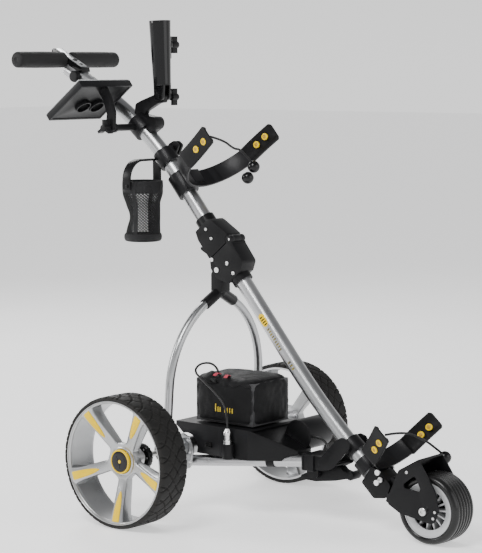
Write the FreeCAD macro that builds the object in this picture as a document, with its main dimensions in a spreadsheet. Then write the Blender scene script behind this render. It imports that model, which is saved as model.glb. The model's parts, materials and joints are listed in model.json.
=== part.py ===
"""Electric golf trolley: a folding three-wheel frame that carries a golf bag.

Frame: +X is the direction of travel, +Y the left side, +Z up.  The ground is Z = 0 and the
origin is under the middle of the trolley.  Lengths are millimetres, angles are degrees.
Places along the trolley are measured from the rear axle, and at() moves them to the origin.
"""
import FreeCAD
import Part
import math
import os

V = FreeCAD.Vector
doc = FreeCAD.newDocument("ElectricGolfTrolley")

DRIVING_SIZES = [
    ("axle_to_middle", 100.26),
    ("rear_wheel_radius", 143.0),
    ("rear_tyre_width", 82.0),
    ("rear_tyre_inner", 134.0),
    ("track_outside", 664.0),
    ("front_wheel_radius", 74.0),
    ("front_tyre_width", 73.0),
    ("front_tyre_inner", 58.0),
    ("wheelbase", 603.0),
    ("main_tube_radius", 18.0),
    ("tube_wall", 2.0),
    ("leg_radius", 9.5),
    ("lower_tube_radius", 12.5),
    ("axle_tube_radius", 20.0),
    ("shaft_radius", 6.0),
    ("handle_height", 999.0),
    ("handle_half_width", 167.0),
    ("grip_radius", 19.0),
    ("bar_radius", 9.0),
    ("umbrella_bore_radius", 17.0),
    ("cup_radius", 46.0),
    ("cup_depth", 136.0),
    ("battery_length", 160.0),
    ("battery_width", 126.0),
    ("battery_height", 94.0),
    ("cradle_band", 41.0),
    ("toggle_radius", 14.0),
    ("bungee_radius", 2.5),
    ("cable_radius", 2.5),
    ("running_gap", 0.3),
]

sheet = doc.addObject("Spreadsheet::Sheet", "Sizes")
for row, (alias, number) in enumerate(DRIVING_SIZES, start=1):
    sheet.set(f"A{row}", alias)
    sheet.set(f"B{row}", str(number))
    sheet.setAlias(f"B{row}", alias)
doc.recompute()
size = dict(DRIVING_SIZES)
NODES = {}

# ---------------------------------------------------------------- places and directions
AXLE_Z = size["rear_wheel_radius"]
TUBE_SLOPE = 50.3
DOWN_TUBE = V(math.cos(math.radians(TUBE_SLOPE)), 0, -math.sin(math.radians(TUBE_SLOPE)))
OFF_TUBE = V(math.sin(math.radians(TUBE_SLOPE)), 0, math.cos(math.radians(TUBE_SLOPE)))
LEFT = V(0, 1, 0)
RIGHT = V(0, -1, 0)
UP = V(0, 0, 1)
DOWN = V(0, 0, -1)
AHEAD = V(1, 0, 0)


def at(x, y, z):
    """A point given from the rear axle line, moved into the trolley's own frame."""
    return V(x - size["axle_to_middle"], y, z)


def side_frame(origin, along=AHEAD):
    """A frame for side profiles: x along the given direction, y square to it and upward."""
    along = V(along).normalize()
    across = V(-along.z, 0, along.x)
    return FreeCAD.Placement(origin, FreeCAD.Rotation(along, across, RIGHT, "XYZ"))


FOLD_CENTRE = at(38.6, 0, 575.7)


def fold_point(down, off, side=0.0):
    """A point at the fold: distance down the main tube, distance off its front, and side."""
    return FOLD_CENTRE + DOWN_TUBE * down + OFF_TUBE * off + LEFT * side


# ---------------------------------------------------------------- small builders
def bind(feature, **expressions):
    for prop, expression in expressions.items():
        feature.setExpression(prop, expression)
    return feature


def keep(node, feature):
    """Makes a feature the shape of a sub-part with its own label."""
    feature.Label = node
    NODES[node] = feature
    return feature


def cylinder(name, radius, length, start, direction):
    part = doc.addObject("Part::Cylinder", name)
    bind(part, Radius=radius, Height=length)
    part.Placement = FreeCAD.Placement(start, FreeCAD.Rotation(UP, direction))
    return part


def cross_cylinder(name, radius, length, centre):
    """A cylinder whose axis runs across the trolley, centred on a point."""
    part = doc.addObject("Part::Cylinder", name)
    bind(part, Radius=radius, Height=length)
    doc.recompute([part])
    start = centre - LEFT * (part.Height.Value / 2)
    part.Placement = FreeCAD.Placement(start, FreeCAD.Rotation(UP, LEFT))
    return part


def cone(name, radius_start, radius_end, length, start, direction):
    part = doc.addObject("Part::Cone", name)
    bind(part, Radius1=radius_start, Radius2=radius_end, Height=length)
    part.Placement = FreeCAD.Placement(start, FreeCAD.Rotation(UP, direction))
    return part


def ball(name, radius, centre):
    part = bind(doc.addObject("Part::Sphere", name), Radius=radius)
    part.Placement = FreeCAD.Placement(centre, FreeCAD.Rotation())
    return part


def box(name, length, width, height, centre, rotation=None):
    part = doc.addObject("Part::Box", name)
    bind(part, Length=length, Width=width, Height=height)
    doc.recompute([part])
    rotation = rotation or FreeCAD.Rotation()
    half = V(part.Length.Value, part.Width.Value, part.Height.Value) * 0.5
    part.Placement = FreeCAD.Placement(centre - rotation.multVec(half), rotation)
    return part


def fuse(name, *pieces):
    part = doc.addObject("Part::MultiFuse", name)
    part.Shapes = list(pieces)
    part.Refine = True
    return part


def cut(name, base, *tools):
    part = doc.addObject("Part::Cut", name)
    part.Base = base
    part.Tool = tools[0] if len(tools) == 1 else fuse(name + "_tools", *tools)
    part.Refine = True
    return part


def group(name, *pieces):
    """Separate solids of one kind that share a node."""
    part = doc.addObject("Part::Compound", name)
    part.Links = list(pieces)
    return part


def mirrored(name, source):
    part = doc.addObject("Part::Mirroring", name)
    part.Source = source
    part.Base = V(0, 0, 0)
    part.Normal = LEFT
    return part


def rounded_edges(points, radii, closed=False):
    """Straight edges joined by tangent arcs, with one radius for each corner."""
    points = [V(p) for p in points]
    count = len(points)
    corners = range(count) if closed else range(1, count - 1)
    trims = {}
    for order, index in enumerate(corners):
        radius = radii[order] if isinstance(radii, (list, tuple)) else radii
        here = points[index]
        back = (points[index - 1] - here).normalize()
        on = (points[(index + 1) % count] - here).normalize()
        half = back.getAngle(on) / 2
        if radius <= 0 or half > math.pi / 2 - 1e-4:
            trims[index] = (here, None, here)
            continue
        trim = radius / math.tan(half)
        middle = here + (back + on).normalize() * (radius / math.sin(half) - radius)
        trims[index] = (here + back * trim, middle, here + on * trim)
    edges = []
    steps = range(count) if closed else range(count - 1)
    for index in steps:
        following = (index + 1) % count
        start = trims[index][2] if index in trims else points[index]
        end = trims[following][0] if following in trims else points[following]
        if (end - start).Length > 1e-6:
            edges.append(Part.LineSegment(start, end))
        if following in trims and trims[following][1] is not None:
            edges.append(Part.Arc(*trims[following]))
    return edges


def side_plate(name, outline, radii, thickness, placement, holes=()):
    """A plate cut to a side profile, padded evenly to both sides of its own plane."""
    body = doc.addObject("PartDesign::Body", name)
    sketch = body.newObject("Sketcher::SketchObject", name + "_outline")
    planes = [f for f in body.Origin.OriginFeatures if f.Role == "XY_Plane"]
    sketch.AttachmentSupport = [(planes[0], "")]
    sketch.MapMode = "FlatFace"
    flat = [V(u, v, 0) for u, v in outline]
    sketch.addGeometry(rounded_edges(flat, radii, closed=True), False)
    for u, v, radius in holes:
        sketch.addGeometry(Part.Circle(V(u, v, 0), UP, radius), False)
    pad = body.newObject("PartDesign::Pad", name + "_pad")
    pad.Profile = sketch
    pad.Midplane = True
    bind(pad, Length=thickness)
    body.Placement = placement
    return body


def turned(name, outline, radii, centre, direction=LEFT):
    """A revolved solid: outline points are (radius, distance along the axis)."""
    body = doc.addObject("PartDesign::Body", name)
    sketch = body.newObject("Sketcher::SketchObject", name + "_outline")
    planes = [f for f in body.Origin.OriginFeatures if f.Role == "XY_Plane"]
    sketch.AttachmentSupport = [(planes[0], "")]
    sketch.MapMode = "FlatFace"
    flat = [V(radius, along, 0) for radius, along in outline]
    sketch.addGeometry(rounded_edges(flat, radii, closed=True), False)
    revolution = body.newObject("PartDesign::Revolution", name + "_turn")
    revolution.Profile = sketch
    revolution.ReferenceAxis = (sketch, ["V_Axis"])
    revolution.Angle = 360
    body.Placement = FreeCAD.Placement(centre, FreeCAD.Rotation(LEFT, direction))
    return body


def path(name, points, radii):
    wire = doc.addObject("Part::Feature", name)
    wire.Shape = Part.Wire([edge.toShape() for edge in rounded_edges(points, radii)])
    return wire


def swept(name, spine, radius, points):
    """A round bar along a path."""
    circle = bind(doc.addObject("Part::Circle", name + "_section"), Radius=radius)
    heading = (points[1] - points[0]).normalize()
    circle.Placement = FreeCAD.Placement(points[0], FreeCAD.Rotation(UP, heading))
    sweep = doc.addObject("Part::Sweep", name)
    sweep.Sections = [circle]
    sweep.Spine = (spine, [f"Edge{i + 1}" for i in range(len(spine.Shape.Edges))])
    sweep.Solid = True
    sweep.Frenet = True
    return sweep


def bent_tube(name, points, radii, radius, wall=None):
    """A bent tube; with a wall it is open at both ends, else it is a solid bar."""
    spine = path(name + "_path", points, radii)
    outer = swept(name + "_outer", spine, radius, points)
    if wall is None:
        return outer
    inner = swept(name + "_inner", spine, f"{radius} - {wall}", points)
    return cut(name, outer, inner)


def cord(name, points, radius):
    """A cord's plain tube: straight runs and arcs as large as the two runs allow."""
    radii = []
    for before, here, after in zip(points, points[1:], points[2:]):
        back, on = before - here, after - here
        half_turn = (math.pi - back.getAngle(on)) / 2
        radii.append(0.45 * min(back.Length, on.Length) / math.tan(half_turn))
    tube = bent_tube(name, points, radii, radius)
    print(name, "arc radii", [round(r, 1) for r in radii])
    return tube


def lofted(name, sections, placement=None):
    """A straight-sided solid between closed outlines of the same point count."""
    wires = [Part.makePolygon([V(p) for p in section] + [V(section[0])]) for section in sections]
    solid = doc.addObject("Part::Feature", name)
    solid.Shape = Part.makeLoft(wires, True, True)
    if placement is not None:
        solid.Placement = placement
    return solid


# ---------------------------------------------------------------- main tubes
UPPER_CORNER = fold_point(-365.2, 0)
UPPER_END = at(-432, 0, 977.5)
LOWER_CORNER = fold_point(452.6, 0)
LOWER_END = at(470, 0, 108.4)
MAIN_TUBE = "Sizes.main_tube_radius"


def make_main_tubes():
    upper_start = fold_point(-20, 0)
    lower_start = fold_point(20, 0)
    keep("main_tube_upper", bent_tube("main_tube_upper", [upper_start, UPPER_CORNER, UPPER_END], [760],
                                      MAIN_TUBE, "Sizes.tube_wall"))
    keep("main_tube_lower", bent_tube("main_tube_lower", [lower_start, LOWER_CORNER, LOWER_END], [1700],
                                      MAIN_TUBE, "Sizes.tube_wall"))


# ---------------------------------------------------------------- the fold castings
HINGE = (-2.0, 42.0)
LEG_PIVOT = (30.4, -28.8)
LATCH_PIVOT = (-20.0, -26.5)
CATCH_PIN = (4.7, -25.0)
CHEEK_WIDTH = 48.0


def make_fold():
    frame = side_frame(FOLD_CENTRE, DOWN_TUBE)
    knuckle = 9.0
    # the lower casting, on the lower tube
    block = side_plate("socket_block", [(0.8, -30), (0.8, 32), (8, 44), (60, 42), (72, 22), (72, -22),
                                        (46, -41), (18, -41)],
                       [3, 6, 6, 10, 3, 3, 8, 6], f"{CHEEK_WIDTH}", frame)
    collar = cylinder("socket_collar", f"{MAIN_TUBE} + 5", "26", fold_point(60, 0), DOWN_TUBE)
    lugs = cross_cylinder("socket_lugs", f"{knuckle}", f"{CHEEK_WIDTH}", fold_point(*HINGE))
    lug_web = box("socket_lug_web", "12", f"{CHEEK_WIDTH}", "14", fold_point(5, 38), frame.Rotation.multiply(
        FreeCAD.Rotation(AHEAD, 90)))
    middle_gap = cross_cylinder("socket_middle_gap", f"{knuckle} + 1.2", "24.6", fold_point(*HINGE))
    tube_seat = cylinder("socket_seat", MAIN_TUBE, "80", fold_point(20, 0), DOWN_TUBE)
    pin_hole = cross_cylinder("socket_pin_hole", "3", "60", fold_point(*HINGE))
    neck_slot = side_plate("socket_neck_slot", [(-6, -19), (58, -19), (80, -60), (-6, -60)], 0, "31.2", frame)
    leg_hole = cross_cylinder("socket_leg_hole", "4", "60", fold_point(*LEG_PIVOT))
    catch_hole = cross_cylinder("socket_catch_hole", "3", "60", fold_point(*CATCH_PIN))
    fillet_web = fuse("socket_blank", block, collar, lugs, lug_web)
    keep("fold_socket", cut("fold_socket", fillet_web, middle_gap, tube_seat, pin_hole, neck_slot, leg_hole,
                            catch_hole))
    # the upper casting, on the upper tube
    cap_block = side_plate("cap_block", [(-72, -24), (-72, 25), (-62, 29.5), (-12, 46), (-1.2, 30), (-1.2, -30),
                                         (-53, -30)],
                           [2, 6, 8, 6, 2, 3, 10], f"{CHEEK_WIDTH}", frame)
    cap_collar = cylinder("cap_collar", f"{MAIN_TUBE} + 4.5", "32", fold_point(-90, 0), DOWN_TUBE)
    tongue = cross_cylinder("cap_tongue", f"{knuckle}", "23.4", fold_point(*HINGE))
    cap_seat = cylinder("cap_seat", MAIN_TUBE, "90", fold_point(-110, 0), DOWN_TUBE)
    lug_room = group("cap_lug_room", *[cross_cylinder("cap_room" + side, f"{knuckle} + 1.2", "14",
                                                      fold_point(*HINGE, sign * 18.7))
                                       for side, sign in (("_left", 1), ("_right", -1))])
    cap_pin = cross_cylinder("cap_pin_hole", "3.05", "60", fold_point(*HINGE))
    latch_slot = side_plate("cap_latch_slot", [(-46, -50), (-46, -21.6), (8, -21.6), (8, -50)], 0, "18.8", frame)
    cap_blank = fuse("cap_blank", cap_block, cap_collar, tongue)
    latch_pin = cross_cylinder("cap_latch_pin", "2.4", "40", fold_point(*LATCH_PIVOT))
    cap_cut = cut("cap_cut", cap_blank, cap_seat, lug_room, cap_pin, latch_slot)
    keep("fold_cap", fuse("fold_cap", cap_cut, latch_pin))
    # the release lever at the back of the upper casting
    lever = side_plate("fold_latch", [(-44, -45), (-38, -48), (-16, -39), (8, -38), (12, -34), (10, -28.6),
                                      (-5, -28.6), (-8, -25), (-14, -22.5), (-26, -22.5), (-30, -30)],
                       [2, 2, 6, 3, 3, 1, 1, 4, 4, 4, 4], "18", frame, holes=[(*LATCH_PIVOT, 2.45)])
    keep("fold_latch", lever)


# ---------------------------------------------------------------- legs and rear axle
LEG_SIDE = 156.0
LEG_LEAN = 0.0716


def leg_point(side, height):
    """A point of the leg plane, which leans forward from the axle to the neck."""
    return at(LEG_LEAN * (height - AXLE_Z), side, height)


def make_legs():
    leg_points = [leg_point(24, 471.6), leg_point(LEG_SIDE, 402), leg_point(LEG_SIDE, 164.2)]
    left = bent_tube("leg_left", leg_points, [200], "Sizes.leg_radius", "Sizes.tube_wall")
    keep("legs", group("legs", left, mirrored("leg_right", left)))
    pivot = fold_point(*LEG_PIVOT)
    frame = side_frame(pivot)
    neck = side_plate("yoke_neck", [(-24, -10), (-24, -52), (6, -52), (6, -12), (10, 2), (2, 11), (-10, 9)],
                      [8, 4, 4, 8, 5, 5, 6], "30", frame, holes=[(0, 0, 4.05)])
    crotch = leg_point(0, 484.2)
    direction = (leg_point(LEG_SIDE, 402) - leg_point(24, 471.6)).normalize()
    arm_left = cylinder("yoke_arm_left", "Sizes.leg_radius + 3", "56", crotch, direction)
    arm_right = cylinder("yoke_arm_right", "Sizes.leg_radius + 3", "56", crotch,
                         V(direction.x, -direction.y, direction.z))
    knot = ball("yoke_knot", "15", crotch)
    seats = [cylinder("yoke_seat" + tag, "Sizes.leg_radius", "60",
                      leg_point(sign * 24, 471.6), V(direction.x, sign * direction.y, direction.z))
             for tag, sign in (("_left", 1), ("_right", -1))]
    keep("leg_yoke", cut("leg_yoke", fuse("yoke_blank", neck, arm_left, arm_right, knot), *seats))


def make_axle():
    outer = cross_cylinder("axle_outer", "Sizes.axle_tube_radius", "344", at(0, 0, AXLE_Z))
    bore = cross_cylinder("axle_bore", "Sizes.axle_tube_radius - Sizes.tube_wall", "332", at(0, 0, AXLE_Z))
    lugs, seats, bearings = [], [], []
    for tag, sign in (("_left", 1), ("_right", -1)):
        lugs.append(cross_cylinder("axle_collar" + tag, "Sizes.axle_tube_radius + 4", "29",
                                   at(0, sign * LEG_SIDE, AXLE_Z)))
        lugs.append(cylinder("axle_lug" + tag, "Sizes.leg_radius + 3.5", "46",
                             leg_point(sign * LEG_SIDE, AXLE_Z), V(LEG_LEAN, 0, 1)))
        seats.append(cylinder("axle_seat" + tag, "Sizes.leg_radius", "60",
                              leg_point(sign * LEG_SIDE, 164.2), V(LEG_LEAN, 0, 1)))
        bearings.append(cross_cylinder("axle_bearing" + tag, "Sizes.shaft_radius + 0.05", "20",
                                       at(0, sign * 170, AXLE_Z)))
    keep("axle_housing", cut("axle_housing", fuse("axle_blank", outer, *lugs), bore, *seats, *bearings))
    motor_can = "Sizes.axle_tube_radius - Sizes.tube_wall - 1"
    motors = []
    for tag, sign in (("_left", 1), ("_right", -1)):
        can = cross_cylinder("motor_can" + tag, motor_can, "84", at(0, sign * 64, AXLE_Z))
        gearbox = cross_cylinder("motor_gearbox" + tag, f"{motor_can} + 1", "44", at(0, sign * 127.8, AXLE_Z))
        motors.append(fuse("drive_motor" + tag, can, gearbox))
    keep("drive_motors", group("drive_motors", *motors))


# ---------------------------------------------------------------- rear wheels
SPOKES = 5
SPOKE_START = -88.0


def wheel_spoke(name, place, outline, faces):
    """A tapered slab from the hub to the rim; outline is (radius, half width) pairs."""
    solids = []
    for index in range(SPOKES):
        angle = math.radians(SPOKE_START + index * 360.0 / SPOKES)
        radial = V(math.cos(angle), 0, math.sin(angle))
        tangent = V(-math.sin(angle), 0, math.cos(angle))
        sections = []
        for (radius, half), (inner, outer) in zip(outline, faces):
            centre = place + radial * radius
            sections.append([centre + tangent * half + LEFT * inner, centre + tangent * half + LEFT * outer,
                             centre - tangent * half + LEFT * outer, centre - tangent * half + LEFT * inner])
        solids.append(lofted(f"{name}_{index}", sections))
    return solids


def make_rear_wheel(tag, sign):
    """Offsets grow outboard: 0 is the wheel's middle plane."""
    half = size["rear_tyre_width"] / 2
    middle = size["track_outside"] / 2 - half
    place = at(0, sign * middle, AXLE_Z)
    out = LEFT * sign
    outer = size["rear_wheel_radius"]
    seat = size["rear_tyre_inner"]
    tyre = turned("tyre" + tag, [(seat, -half + 2), (outer - 4, -half), (outer, -half + 9), (outer, half - 9),
                                 (outer - 4, half), (seat, half - 2)],
                  [2, 3, 6, 6, 3, 2], place, out)
    keep("tyre" + tag, tyre)
    barrel = turned("rim_barrel" + tag, [(seat - 5, -half + 3), (seat, -half + 3), (seat, half - 1),
                                         (seat - 8, half - 1), (seat - 5, half - 8)],
                    [0, 0, 1, 2, 2], place, out)
    hub = cylinder("rim_hub" + tag, "27", "40", place - out * 33, out)
    outline = [(15, 13), (60, 15), (seat - 4, 19)]
    spokes = wheel_spoke("spoke" + tag, place, outline,
                         [(sign * -8, sign * 6), (sign * 4, sign * 18), (sign * 26, sign * (half - 3))])
    bore = cylinder("rim_bore" + tag, "Sizes.shaft_radius", "90", place - out * 45, out)
    cap_room = cylinder("rim_cap_room" + tag, "22", "12", place + out * 2, out)
    keep("rim" + tag, cut("rim" + tag, fuse("rim_blank" + tag, barrel, hub, *spokes), bore, cap_room))
    strips = wheel_spoke("insert" + tag, place, [(72, 3), (118, 9)],
                         [(sign * 21.7, sign * 24.5), (sign * 35.2, sign * 38.5)])
    keep("spoke_inserts" + tag, group("spoke_inserts" + tag, *strips))
    plunger = cylinder("cap_plunger" + tag, "21.5", "10.5", place + out * 7, out)
    face = cylinder("cap_face" + tag, "26.5", "6", place + out * 13, out)
    keep("hub_cap" + tag, fuse("hub_cap" + tag, plunger, face))
    shaft = cylinder("shaft_bar" + tag, "Sizes.shaft_radius", "142", at(0, sign * 150.5, AXLE_Z), out)
    collar = cylinder("shaft_collar" + tag, "11", "6", at(0, sign * 250, AXLE_Z), out)
    keep("axle_shaft" + tag, fuse("axle_shaft" + tag, shaft, collar))


# ---------------------------------------------------------------- front wheel and fork
FRONT_Z = size["front_wheel_radius"]


def make_front_wheel():
    centre = at(size["wheelbase"], 0, FRONT_Z)
    half = size["front_tyre_width"] / 2
    radius = size["front_wheel_radius"]
    seat = size["front_tyre_inner"]
    outline = [(seat, -half + 4), (radius - 9, -half), (radius - 1, -half + 10)]
    grooves = 5
    pitch = 10.0
    for index in range(grooves):
        middle = (index - (grooves - 1) / 2) * pitch
        outline += [(radius, middle - 2.6), (radius - 3, middle - 1.2), (radius - 3, middle + 1.2),
                    (radius, middle + 2.6)]
    outline += [(radius - 1, half - 10), (radius - 9, half), (seat, half - 4)]
    keep("front_tyre", turned("front_tyre", outline, 0, centre))
    barrel = turned("front_barrel", [(46, -half + 5), (seat, -half + 3), (seat, half - 3), (46, half - 5),
                                     (48, half - 14), (54, 0), (48, -half + 14)], 0, centre)
    hub = cross_cylinder("front_hub", "15", "62", centre)
    web = cross_cylinder("front_web", "55", "8", centre)
    bore = cross_cylinder("front_bore", "5.05", "90", centre)
    windows = [cross_cylinder(f"front_window_{i}", "9", "20",
                              centre + V(math.cos(i * math.pi / 3), 0, math.sin(i * math.pi / 3)) * 33)
               for i in range(6)]
    keep("front_rim", cut("front_rim", fuse("front_rim_blank", barrel, hub, web), bore, *windows))


def make_fork():
    wheel = size["wheelbase"]
    outline = [(512, 78), (516, 95), (540, 152), (588, 180), (629, 119), (638, 82), (628, 48), (543, 62)]
    window = [(543, 117), (580, 146), (598, 112)]
    plates = []
    for tag, side in (("_right", -44), ("_left", 44)):
        frame = side_frame(at(0, side, 0))
        blank = side_plate("fork_plate" + tag, outline, [8, 6, 12, 10, 8, 12, 14, 10], "4", frame,
                           holes=[(wheel, FRONT_Z, 5)])
        opening = side_plate("fork_window" + tag, window, [6, 6, 6], "8", frame)
        plates.append(cut("fork_side" + tag, blank, opening))
    bridge = side_plate("fork_bridge", [(513, 92), (518, 91), (543.5, 148), (590, 176), (588, 180), (540, 152)],
                        0, "90", side_frame(at(0, 0, 0)))
    back = side_plate("fork_back", [(508, 82), (516, 78), (520, 95), (512, 100)], 0, "90",
                      side_frame(at(0, 0, 0)))
    stem = side_plate("fork_stem", [(488, 84), (514, 84), (526, 118), (500, 128)], [4, 2, 2, 4], "34",
                      side_frame(at(0, 0, 0)))
    keep("fork", fuse("fork", *plates, bridge, back, stem))


def make_fork_clamp():
    heading = (LOWER_END - LOWER_CORNER).normalize()
    frame = side_frame(LOWER_END, heading)
    block = side_plate("clamp_block", [(-30, -25), (-34, 20), (-12, 27), (26, 25), (36, -4), (14, -28)],
                       [5, 6, 8, 8, 10, 8], "50", frame)
    seat = cylinder("clamp_seat", MAIN_TUBE, "60", LOWER_END - heading * 60, heading)
    stem_room = side_plate("clamp_stem_room", [(480, 70), (514, 84), (526, 118), (500, 128), (488, 84)], 0,
                           "34", side_frame(at(0, 0, 0)))
    keep("fork_clamp", cut("fork_clamp", block, seat, stem_room))


def make_fasteners():
    half = CHEEK_WIDTH / 2
    hinge_pin = cross_cylinder("hinge_pin", "3", "46", fold_point(*HINGE))
    leg_pin_bar = cross_cylinder("leg_pin_bar", "4", "50", fold_point(*LEG_PIVOT))
    leg_heads = [cross_cylinder(f"leg_pin_head{sign}", "6", "2", fold_point(*LEG_PIVOT) + LEFT * sign * 25)
                 for sign in (1, -1)]
    catch_bar = cross_cylinder("catch_bar", "3", "50", fold_point(*CATCH_PIN))
    catch_heads = [cross_cylinder(f"catch_head{sign}", "4.5", "2", fold_point(*CATCH_PIN) + LEFT * sign * 25)
                   for sign in (1, -1)]
    front_bar = cross_cylinder("front_axle_bar", "5", "92", at(size["wheelbase"], 0, FRONT_Z))
    front_heads = [cross_cylinder(f"front_axle_nut{sign}", "8.5", "5",
                                  at(size["wheelbase"], sign * 48.5, FRONT_Z)) for sign in (1, -1)]
    pieces = [hinge_pin, fuse("leg_pin", leg_pin_bar, *leg_heads), fuse("catch_pin", catch_bar, *catch_heads),
              fuse("front_axle", front_bar, *front_heads)]
    for index, (down, off) in enumerate([(63.5, 5.0), (36.0, 5.2)]):
        for sign in (1, -1):
            start = fold_point(down, off, sign * half)
            pieces.append(cylinder(f"socket_rivet_{index}_{sign}", "4", "1.6", start, LEFT * sign))
    for index, (x, z) in enumerate([(472, 113), (474, 135)]):
        for sign in (1, -1):
            pieces.append(cylinder(f"clamp_bolt_{index}_{sign}", "6", "4", at(x, sign * 25, z), LEFT * sign))
    for index, (x, z) in enumerate([(630, 62), (634, 76)]):
        for sign in (1, -1):
            pieces.append(cylinder(f"fork_screw_{index}_{sign}", "2.6", "1.6", at(x - 4, sign * 46, z),
                                   LEFT * sign))
    keep("frame_fasteners", group("frame_fasteners", *pieces))


# ---------------------------------------------------------------- front bracket and its lock
PLATE_SIDE = 33.2
BRACKET_BOLT = (394.0, 176.0)
LOCK_PIVOT = (300.0, 109.0)


def make_front_bracket():
    outline = [(322, 140), (370, 190), (386, 200), (403, 195), (408, 181), (366, 132), (350, 124), (328, 126)]
    plates = [side_plate("bracket_plate" + tag, outline, [6, 10, 8, 8, 8, 10, 6, 6], "4",
                         side_frame(at(0, side, 0)))
              for tag, side in (("_right", -PLATE_SIDE), ("_left", PLATE_SIDE))]
    heading = (LOWER_END - LOWER_CORNER).normalize()
    sleeve_start = at(BRACKET_BOLT[0], 0, 0) + UP * BRACKET_BOLT[1] - heading * 16
    sleeve = cylinder("bracket_sleeve", f"{MAIN_TUBE} + 5", "32", sleeve_start, heading)
    bar = cross_cylinder("bracket_bar", "10", f"{2 * PLATE_SIDE}", at(*[BRACKET_BOLT[0], 0, BRACKET_BOLT[1]]))
    lock_bar = cross_cylinder("bracket_lock_bar", "4", f"{2 * PLATE_SIDE}", at(360, 0, 134))
    seat_path = [fold_point(20, 0), LOWER_CORNER, LOWER_END]
    tube_room = swept("bracket_tube_room", path("bracket_tube_path", seat_path, [1700]), MAIN_TUBE, seat_path)
    blank = fuse("bracket_blank", *plates, sleeve, bar, lock_bar)
    keep("front_bracket", cut("front_bracket", blank, tube_room))
    lever = side_plate("lock_lever", [(262, 91), (260, 99), (286, 111), (294, 117), (306, 117), (330, 118),
                                      (344, 122), (353, 129.6), (366, 129.6), (373, 123), (392, 118),
                                      (392, 108), (352, 98), (300, 90)],
                       [4, 4, 6, 4, 6, 10, 6, 2, 3, 4, 2, 4, 20, 20], "22", side_frame(at(0, 0, 0)),
                       holes=[(*LOCK_PIVOT, 4.05)])
    knob = cross_cylinder("lock_knob", "9", "30", at(394, 0, 114))
    keep("front_lock", fuse("front_lock", lever, knob))


# ---------------------------------------------------------------- lower frame and battery deck
TUBE_REAR = (-16.0, 85.3, 108.7)
TUBE_FRONT = (292.0, 17.0, 134.6)
DECK_Z = 197.0
DRUM = (230.0, 60.0, 178.0)


def lower_tube_line(sign):
    start = at(TUBE_REAR[0], sign * TUBE_REAR[1], TUBE_REAR[2])
    end = at(TUBE_FRONT[0], sign * TUBE_FRONT[1], TUBE_FRONT[2])
    return start, end


def make_lower_frame():
    tubes, rooms = [], []
    for tag, sign in (("_left", 1), ("_right", -1)):
        start, end = lower_tube_line(sign)
        direction = (end - start).normalize()
        length = (end - start).Length
        outer = cylinder("lower_outer" + tag, "Sizes.lower_tube_radius", f"{length}", start, direction)
        inner = cylinder("lower_inner" + tag, "Sizes.lower_tube_radius - Sizes.tube_wall", f"{length}", start,
                         direction)
        tubes.append(cut("lower_tube" + tag, outer, inner))
        rooms.append(cylinder("lower_room" + tag, "Sizes.lower_tube_radius + 1", f"{length + 60}",
                              start - direction * 30, direction))
    keep("lower_frame_tubes", group("lower_frame_tubes", *tubes))
    plates = []
    for tag, side in (("_left", 101), ("_right", -101)):
        outline = [(-32, 143), (-22, 166), (0, 175), (22, 166), (32, 143), (22, 96), (-24, 94)]
        plates.append(side_plate("axle_plate" + tag, outline, [12, 12, 12, 12, 12, 10, 10], "5",
                                 side_frame(at(0, side, 0)),
                                 holes=[(0, AXLE_Z, size["axle_tube_radius"] + size["running_gap"])]))
    keep("axle_plates", group("axle_plates", *plates))
    block = side_plate("front_block_body", [(284, 120), (284, 150), (338, 150), (344, 142), (338, 120)],
                       [3, 5, 5, 5, 4], "60", side_frame(at(0, 0, 0)))
    lugs = side_plate("front_block_lugs", [(285, 124), (285, 106), (291, 99), (309, 99), (315, 106), (315, 124)],
                      [0, 4, 6, 6, 4, 0], "44", side_frame(at(0, 0, 0)))
    seats = [cylinder("block_seat" + tag, "Sizes.lower_tube_radius", "40",
                      lower_tube_line(sign)[1] - (lower_tube_line(sign)[1] - lower_tube_line(sign)[0]).normalize()
                      * 40, (lower_tube_line(sign)[1] - lower_tube_line(sign)[0]).normalize())
             for tag, sign in (("_left", 1), ("_right", -1))]
    lever_room = side_plate("block_lever_room", [(250, 80), (250, 119.7), (400, 119.7), (400, 80)], 0, "23",
                            side_frame(at(0, 0, 0)))
    lock_pin = cross_cylinder("block_lock_pin", "4", "44", at(LOCK_PIVOT[0], 0, LOCK_PIVOT[1]))
    holed = cut("front_block_holed", fuse("front_block_blank", block, lugs), *seats, lever_room)
    keep("front_block", fuse("front_block", holed, lock_pin))
    return rooms


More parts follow.
